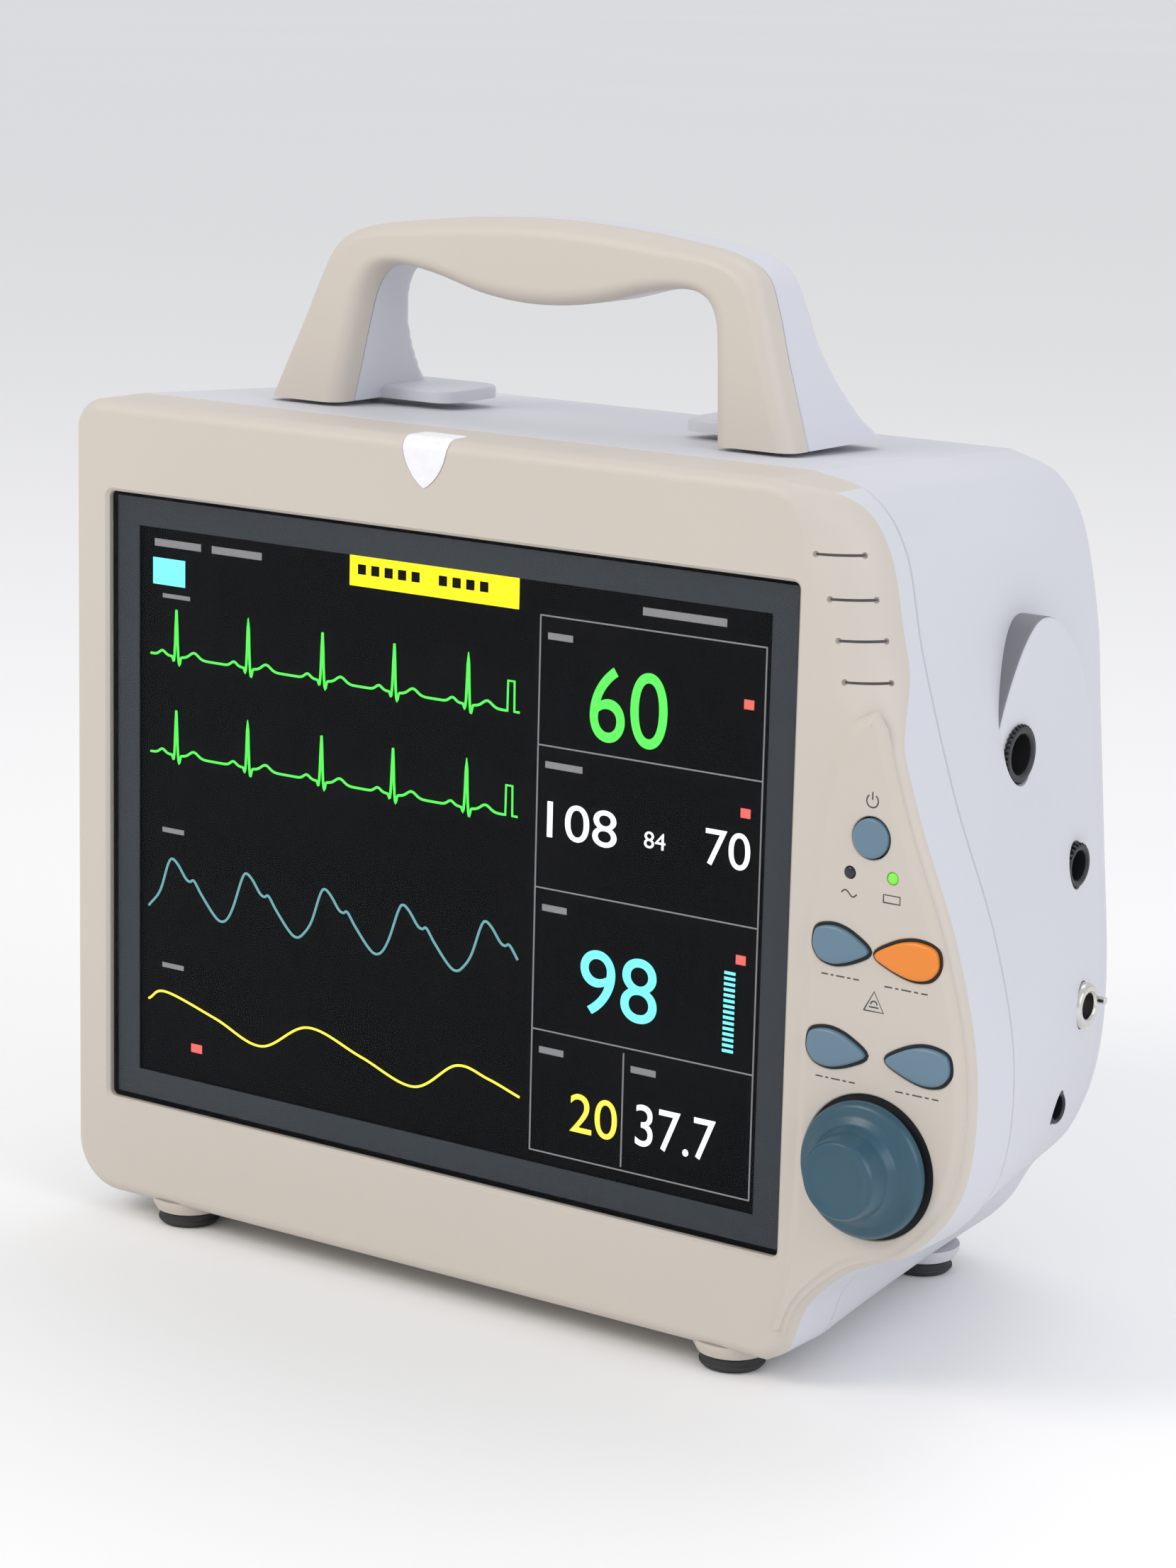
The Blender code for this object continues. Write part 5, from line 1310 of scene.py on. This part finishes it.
traces = {"trace_heart": ([beats(43.5, 14.0), beats(15.0, 13.5)], TRACE_RADIUS, glow_green),
          "trace_pulse": ([eased(pulse)], TRACE_RADIUS, glow_teal),
          "trace_breath": ([eased(breath)], TRACE_RADIUS, glow_yellow),
          "picture_frame": ([on_screen(line) for line in frame_lines], FRAME_RADIUS, glow_grey)}
for name, (paths, radius, paint) in traces.items():
    settled_on(polish(swept(name, paths, radius * MM, paint), 60.0), "monitor", "screen_black")


# %% [markdown]
# The numbers beside the traces are plain figures made from a font curve and fitted into their
# places, and the banner, the tick marks and the small boxes are thin plates.

# %% Screen: numbers and plates
def fitted_number(text, left, right, low, high, paint):
    curve = bpy.data.curves.new("number", "FONT")
    curve.body, curve.extrude = text, 0.5
    holder = bpy.data.objects.new("number", curve)
    bpy.context.scene.collection.objects.link(holder)
    bpy.context.view_layer.update()
    graph = bpy.context.evaluated_depsgraph_get()
    mesh = bpy.data.meshes.new_from_object(holder.evaluated_get(graph))
    bpy.data.objects.remove(holder)
    xs, zs = [v.co.x for v in mesh.vertices], [v.co.y for v in mesh.vertices]
    for v in mesh.vertices:
        x = left + (right - left) * (v.co.x - min(xs)) / (max(xs) - min(xs))
        z = low + (high - low) * (v.co.y - min(zs)) / (max(zs) - min(zs))
        v.co = (SCREEN.x + x * MM, GLOW_Y - v.co.z * 0.1 * MM, SCREEN.z + z * MM)
    mesh.materials.clear()
    mesh.materials.append(paint)
    made = bpy.data.objects.new(f"number_{text}".replace(".", "_"), mesh)
    bpy.context.scene.collection.objects.link(made)
    return made


NUMBERS = [("60", 50.0, 74.5, 39.3, 59.5, glow_green), ("108", 37.0, 59.5, 11.0, 21.0, glow_white),
           ("84", 68.3, 75.0, 13.0, 17.5, glow_white), ("70", 87.5, 101.3, 11.5, 21.3, glow_white),
           ("98", 49.0, 73.7, -35.0, -17.3, glow_cyan), ("20", 46.7, 62.0, -68.9, -58.0, glow_yellow),
           ("37.7", 68.0, 93.4, -68.5, -57.0, glow_white)]
for number in NUMBERS:
    settled_on(fitted_number(*number), "monitor", "screen_black")


BOX_FACES = ((0, 1, 3, 2), (4, 6, 7, 5), (0, 4, 5, 1), (2, 3, 7, 6), (0, 2, 6, 4), (1, 5, 7, 3))


def plates(name, boxes, paint, proud=0.05):
    points, faces = [], []
    for left, right, low, high in boxes:
        start = len(points)
        points += [(SCREEN.x + x * MM, y, SCREEN.z + z * MM) for x in (left, right)
                   for y in (GLOW_Y - proud * MM, GLOW_Y + 0.08 * MM) for z in (low, high)]
        faces += [tuple(start + i for i in face) for face in BOX_FACES]
    return settled_on(solid(name, points, faces, (paint,)), "monitor", "screen_black")


plates("banner", [(-30.8, 26.3, 71.3, 80.2)], glow_banner)
plates("banner_bars", [(-28.0 + 4.6 * i, -25.2 + 4.6 * i, 74.6, 77.4)
                       for i in range(10) if i != 5], screen_black, 0.12)
plates("pulse_ticks", [(94.6, 98.0, -37.7 + 1.5 * i, -36.9 + 1.5 * i) for i in range(15)]
       + [(-101.6, -89.8, 63.6, 71.2)], glow_cyan)
plates("small_marks", [
    (-101.0, -84.0, 74.5, 76.6), (-80.0, -62.0, 74.5, 76.6), (66.0, 92.0, 74.5, 76.6),
    (36.0, 44.0, 64.5, 66.3), (36.0, 48.0, 29.8, 31.6), (36.0, 44.0, -9.3, -7.5),
    (36.0, 44.0, -48.8, -47.0), (66.0, 74.0, -48.8, -47.0), (-98.0, -88.0, 60.0, 61.2),
    (-98.0, -90.0, -8.0, -6.6), (-98.0, -90.0, -48.0, -46.6)], glow_grey)
plates("alarm_marks", [(98.0, 101.0, z, z + 2.5) for z in (54.0, 25.5, -13.5)]
       + [(-87.0, -83.0, -71.5, -69.0)], glow_red)


# %% [markdown]
# Behind the clear window lies a dark printed mask, and behind that the panel itself. Their
# places are already right, so the mask and the panel keep their meshes with new finishes.

# %% Window
PANE_EDGE = ((0.0, window_high.y), (0.0, window_low.y + 0.5 * MM),
             (0.12, window_low.y + 0.16 * MM), (0.5, window_low.y))
rings = []
for shrink, y in PANE_EDGE:
    ring = rounded_box((window_low.x + shrink * MM, window_low.z + shrink * MM),
                       (window_high.x - shrink * MM, window_high.z - shrink * MM),
                       WINDOW_CORNER * MM + GAP)
    rings.append([(p.x, y, p.y) for p in ring])
pane = loft("window_pane", rings, (window_clear,))
settled_on(polish(pane, 35.0), "monitor", "window_glass", "display_window")


# %% [markdown]
# Patient sockets are turned parts with rims that a cable's shell grips. Small notches round
# the rim of the two larger ones are stamped from one cutter. The blood-pressure fitting is
# plated and has a catch pin instead, and the temperature jack is too small for either.

# %% Sockets
BORE_EDGE, BORE_DEPTH, NOTCH_HALF = 0.5 * MM, 10.0 * MM, 0.42 * MM


def socket_piece(node, bore, paint, notches, flange):
    low, high = corners(node)
    place, radius = round_place(node, "yz", "z")
    seat, face = low.x + SOCKET_SEAT + GAP, high.x
    barrel = radius - BARREL_STEP
    behind = [(bore, low.x), (barrel, low.x), (barrel, seat)]
    rim = [(radius, seat), (radius, face - flange), (radius - 0.7 * MM, face),
           (bore + BORE_EDGE, face), (bore, face - BORE_EDGE), (bore, face - BORE_DEPTH)]
    piece = turned(node + "_body", "X", place, behind + rounded_profile(rim, 0.35 * MM, 3),
                   (paint,), 96)
    if node == "nibp_port":
        catch = turned("catch", "X", (place[0] + 5.2 * MM, place[1] + 0.8 * MM), rounded_profile(
            [(0.1 * MM, face - MM), (1.0 * MM, face - MM), (1.0 * MM, face + 2.2 * MM),
             (0.1 * MM, face + 2.2 * MM)], 0.3 * MM), (paint,), 24)
        carve(piece, [catch], "UNION")
    if notches:
        tooth = block("tooth", (-2.0 * MM, -NOTCH_HALF, -NOTCH_HALF), (MM, NOTCH_HALF, NOTCH_HALF))
        spots = [(face + 0.4 * MM, y, z) for y, z in circle(place, radius - 0.15 * MM, notches)]
        carve(piece, [stamped("teeth", tooth, spots, paint)])
    return piece


SOCKETS = {"ecg_socket": (5.4, socket_black, 32, 0.5, "socket_dark"),
           "spo2_socket": (4.1, socket_black, 24, 0.5, "socket_dark"),
           "nibp_port": (3.55, nickel, 0, 1.2, "port_nickel"),
           "temperature_jack": (3.2, socket_black, 0, 0.4, "socket_dark")}
for node, (bore, paint, notches, flange, slot) in SOCKETS.items():
    piece = socket_piece(node, bore * MM, paint, notches, flange * MM)
    settled_on(polish(piece, 35.0), "monitor", slot, node)


# %% [markdown]
# The remaining small parts are plain, so each is a copy of its solid with rounded edges. Screw
# heads get a cross recess: one screw is made at the origin and stamped on its places.

# %% Small parts and screws
for node, name, paint, bevel, body, slot in (
        ("power_inlet", "inlet_body", black_moulding, 0.4, "monitor", "black_plastic"),
        ("network_port", "network_shell", nickel, 0.25, "monitor", "port_nickel"),
        ("inlet_blades", "inlet_pins", nickel, 0.2, "monitor", "port_nickel"),
        ("ground_post", "ground_stud", nickel, 0.4, "monitor", "port_nickel"),
        ("mounting_plate", "stand_plate", sheet_steel, 0.3, "monitor", "sheet_steel"),
        ("battery_door", "battery_cover", case_white, 0.5, "battery_door_body", "housing_white"),
        ("battery_pack", "battery_block", black_moulding, 1.0, "monitor", "black_plastic"),
        ("ecg_contacts", "ecg_pins", contact_gold, 0.12, "monitor", "contact_gold"),
        ("spo2_contacts", "spo2_pins", contact_gold, 0.12, "monitor", "contact_gold")):
    settled_on(refined(node, name, paint, bevel * MM), body, slot, node)


def screw_stamp(length, head_radius, head_height):
    """A screw along -Z with a cross recess; its head's lower side is at the origin."""
    head = head_height
    profile = [(1.5 * MM, -length), (1.5 * MM, 0.0), (head_radius, 0.0), (head_radius, head * 0.55),
               (head_radius - 0.25 * MM, head * 0.85), (head_radius * 0.6, head), (0.1 * MM, head)]
    piece = turned("screw", "Z", (0.0, 0.0), profile, (nickel,), 32)
    arms = [block(f"arm_{i}", (-x * MM, -y * MM, head - 0.6 * MM), (x * MM, y * MM, head + MM))
            for i, (x, y) in enumerate(((1.5, 0.3), (0.3, 1.5)))]
    return carve(piece, arms)


def screw_set(name, nodes, turn, length, head_radius, head_height, seat):
    stamp = screw_stamp(length, head_radius, head_height)
    stamp.data.transform(Matrix.Rotation(math.radians(turn), 4, "X"))
    screws = stamped(name, stamp, [seat(node) for node in nodes], nickel)
    return settled_on(polish(screws, 40.0), "monitor", "port_nickel", *nodes)


HEAD_RADIUS, SHELL_HEAD, PLATE_HEAD = 2.8 * MM, 2.0 * MM, 0.8 * MM
SHELL_SHANK, PLATE_SHANK = 14.0 * MM, 5.0 * MM
PLATE_SCREWS = [f"plate_screw_{i}" for i in (1, 2, 3, 4)]


def well_seat(node):
    (x, z), _ = round_place(node)
    return x, corners(node)[1].y - SHELL_HEAD, z


def plate_seat(node):
    (x, y), _ = round_place(node, "xy")
    return x, y, corners(node)[0].z + PLATE_HEAD


screw_set("shell_screws", SCREW_NODES, -90, SHELL_SHANK, HEAD_RADIUS, SHELL_HEAD, well_seat)
screw_set("plate_screws", PLATE_SCREWS, 180, PLATE_SHANK, HEAD_RADIUS, PLATE_HEAD, plate_seat)


# %% [markdown]
# Four rubber feet are pressed into the bosses. Each is a turned pad with a soft lower edge and
# a short neck, so that a shadow line shows between the rubber and the case.

# %% Feet
for node in ("foot_front_left", "foot_front_right", "foot_rear_left", "foot_rear_right"):
    low, high = corners(node)
    place, radius = round_place(node, "xy")
    profile = [(radius - 2.6 * MM, low.z), (radius - 1.2 * MM, low.z), (radius, low.z + 1.2 * MM),
               (radius, low.z + 1.9 * MM), (radius - 0.4 * MM, low.z + 2.1 * MM),
               (radius - 0.4 * MM, high.z)]
    foot = turned(node + "_pad", "Z", place, rounded_profile(profile, 0.4 * MM, 4), (foot_rubber,))
    settled_on(polish(foot, 40.0), "monitor", "foot_rubber", node)


# %% [markdown]
# Parts inside the case aren't seen when it is closed, but the battery door opens and a learner
# may hide a shell. Their meshes stay and only their finishes change.

# %% Finishes for the parts inside
INSIDE = {sheet_steel: ("chassis_frame", "lcd_bracket", "power_supply"),
          board_green: ("alarm_board", "backlight_inverter", "keypad_board", "main_board",
                        "parameter_board"),
          nickel: ("encoder_collar", "encoder_shaft", "nibp_pump", "handle_screw_1", "handle_screw_2",
                   "handle_screw_3", "handle_screw_4"),
          black_moulding: ("encoder_body", "nibp_valve", "speaker"),
          mask_slate: ("window_mask",), screen_black: ("lcd_panel",)}
for paint, nodes in INSIDE.items():
    for node in nodes:
        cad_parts[node].material_slots[0].material = paint
print("inside parts finished:", sum(len(nodes) for nodes in INSIDE.values()))


# %% [markdown]
# A pale floor and three soft lamps make a plain studio. The large warm lamp stands in front
# and to the left, a cooler one fills the right side, and a faint one lifts the top edges.

# %% Floor, light and camera
def lamp(name, place, aim, size, power, colour):
    light = bpy.data.lights.new(name, "AREA")
    light.shape, light.size, light.energy, light.color = "DISK", size, power, colour
    made = bpy.data.objects.new(name, light)
    bpy.context.scene.collection.objects.link(made)
    made.location = place
    made.rotation_euler = (Vector(aim) - Vector(place)).to_track_quat("-Z", "Y").to_euler()
    return made


floor = block("floor", (-20.0, -20.0, -0.02), (20.0, 20.0, 0.0))
floor_paint = Paint("floor_pale")
pale = floor_paint.mix(floor_paint.noise(0.8, 2.0), tone((0.91, 0.905, 0.90)),
                       tone((0.94, 0.935, 0.93)))
floor.data.materials.append(floor_paint.finish(Base_Color=pale, Roughness=0.7))

world = bpy.data.worlds.new("studio")
bpy.context.scene.world = world
world.use_nodes = True
sky = world.node_tree.nodes["Background"]
sky.inputs["Color"].default_value = (0.92, 0.93, 0.96, 1.0)
sky.inputs["Strength"].default_value = 0.82
lamp("key", (-0.9, -1.5, 1.5), (0.0, 0.0, 0.12), 1.0, 15.0, (1.0, 0.95, 0.88))
lamp("fill", (1.6, -0.3, 0.9), (0.0, 0.0, 0.12), 1.2, 8.5, (0.88, 0.91, 1.0))
lamp("top", (0.0, 0.7, 1.6), (0.0, 0.0, 0.2), 1.0, 3.0, (1.0, 1.0, 1.0))
bpy.context.scene.view_settings.view_transform = "Standard"

camera_data = bpy.data.cameras.new("camera")
camera_data.lens, camera_data.sensor_width = 92.0, 36.0
camera = bpy.data.objects.new("camera", camera_data)
bpy.context.scene.collection.objects.link(camera)
camera.location = (0.6184, -0.9049, 0.3782)
TURN, TILT, ROLL = (math.radians(a) for a in (34.8, 90.0 - 12.3, 1.4))
aim = Matrix.Rotation(TURN, 4, "Z") @ Matrix.Rotation(TILT, 4, "X")
camera.rotation_euler = (aim @ Matrix.Rotation(ROLL, 4, "Z")).to_euler()
bpy.context.scene.camera = camera
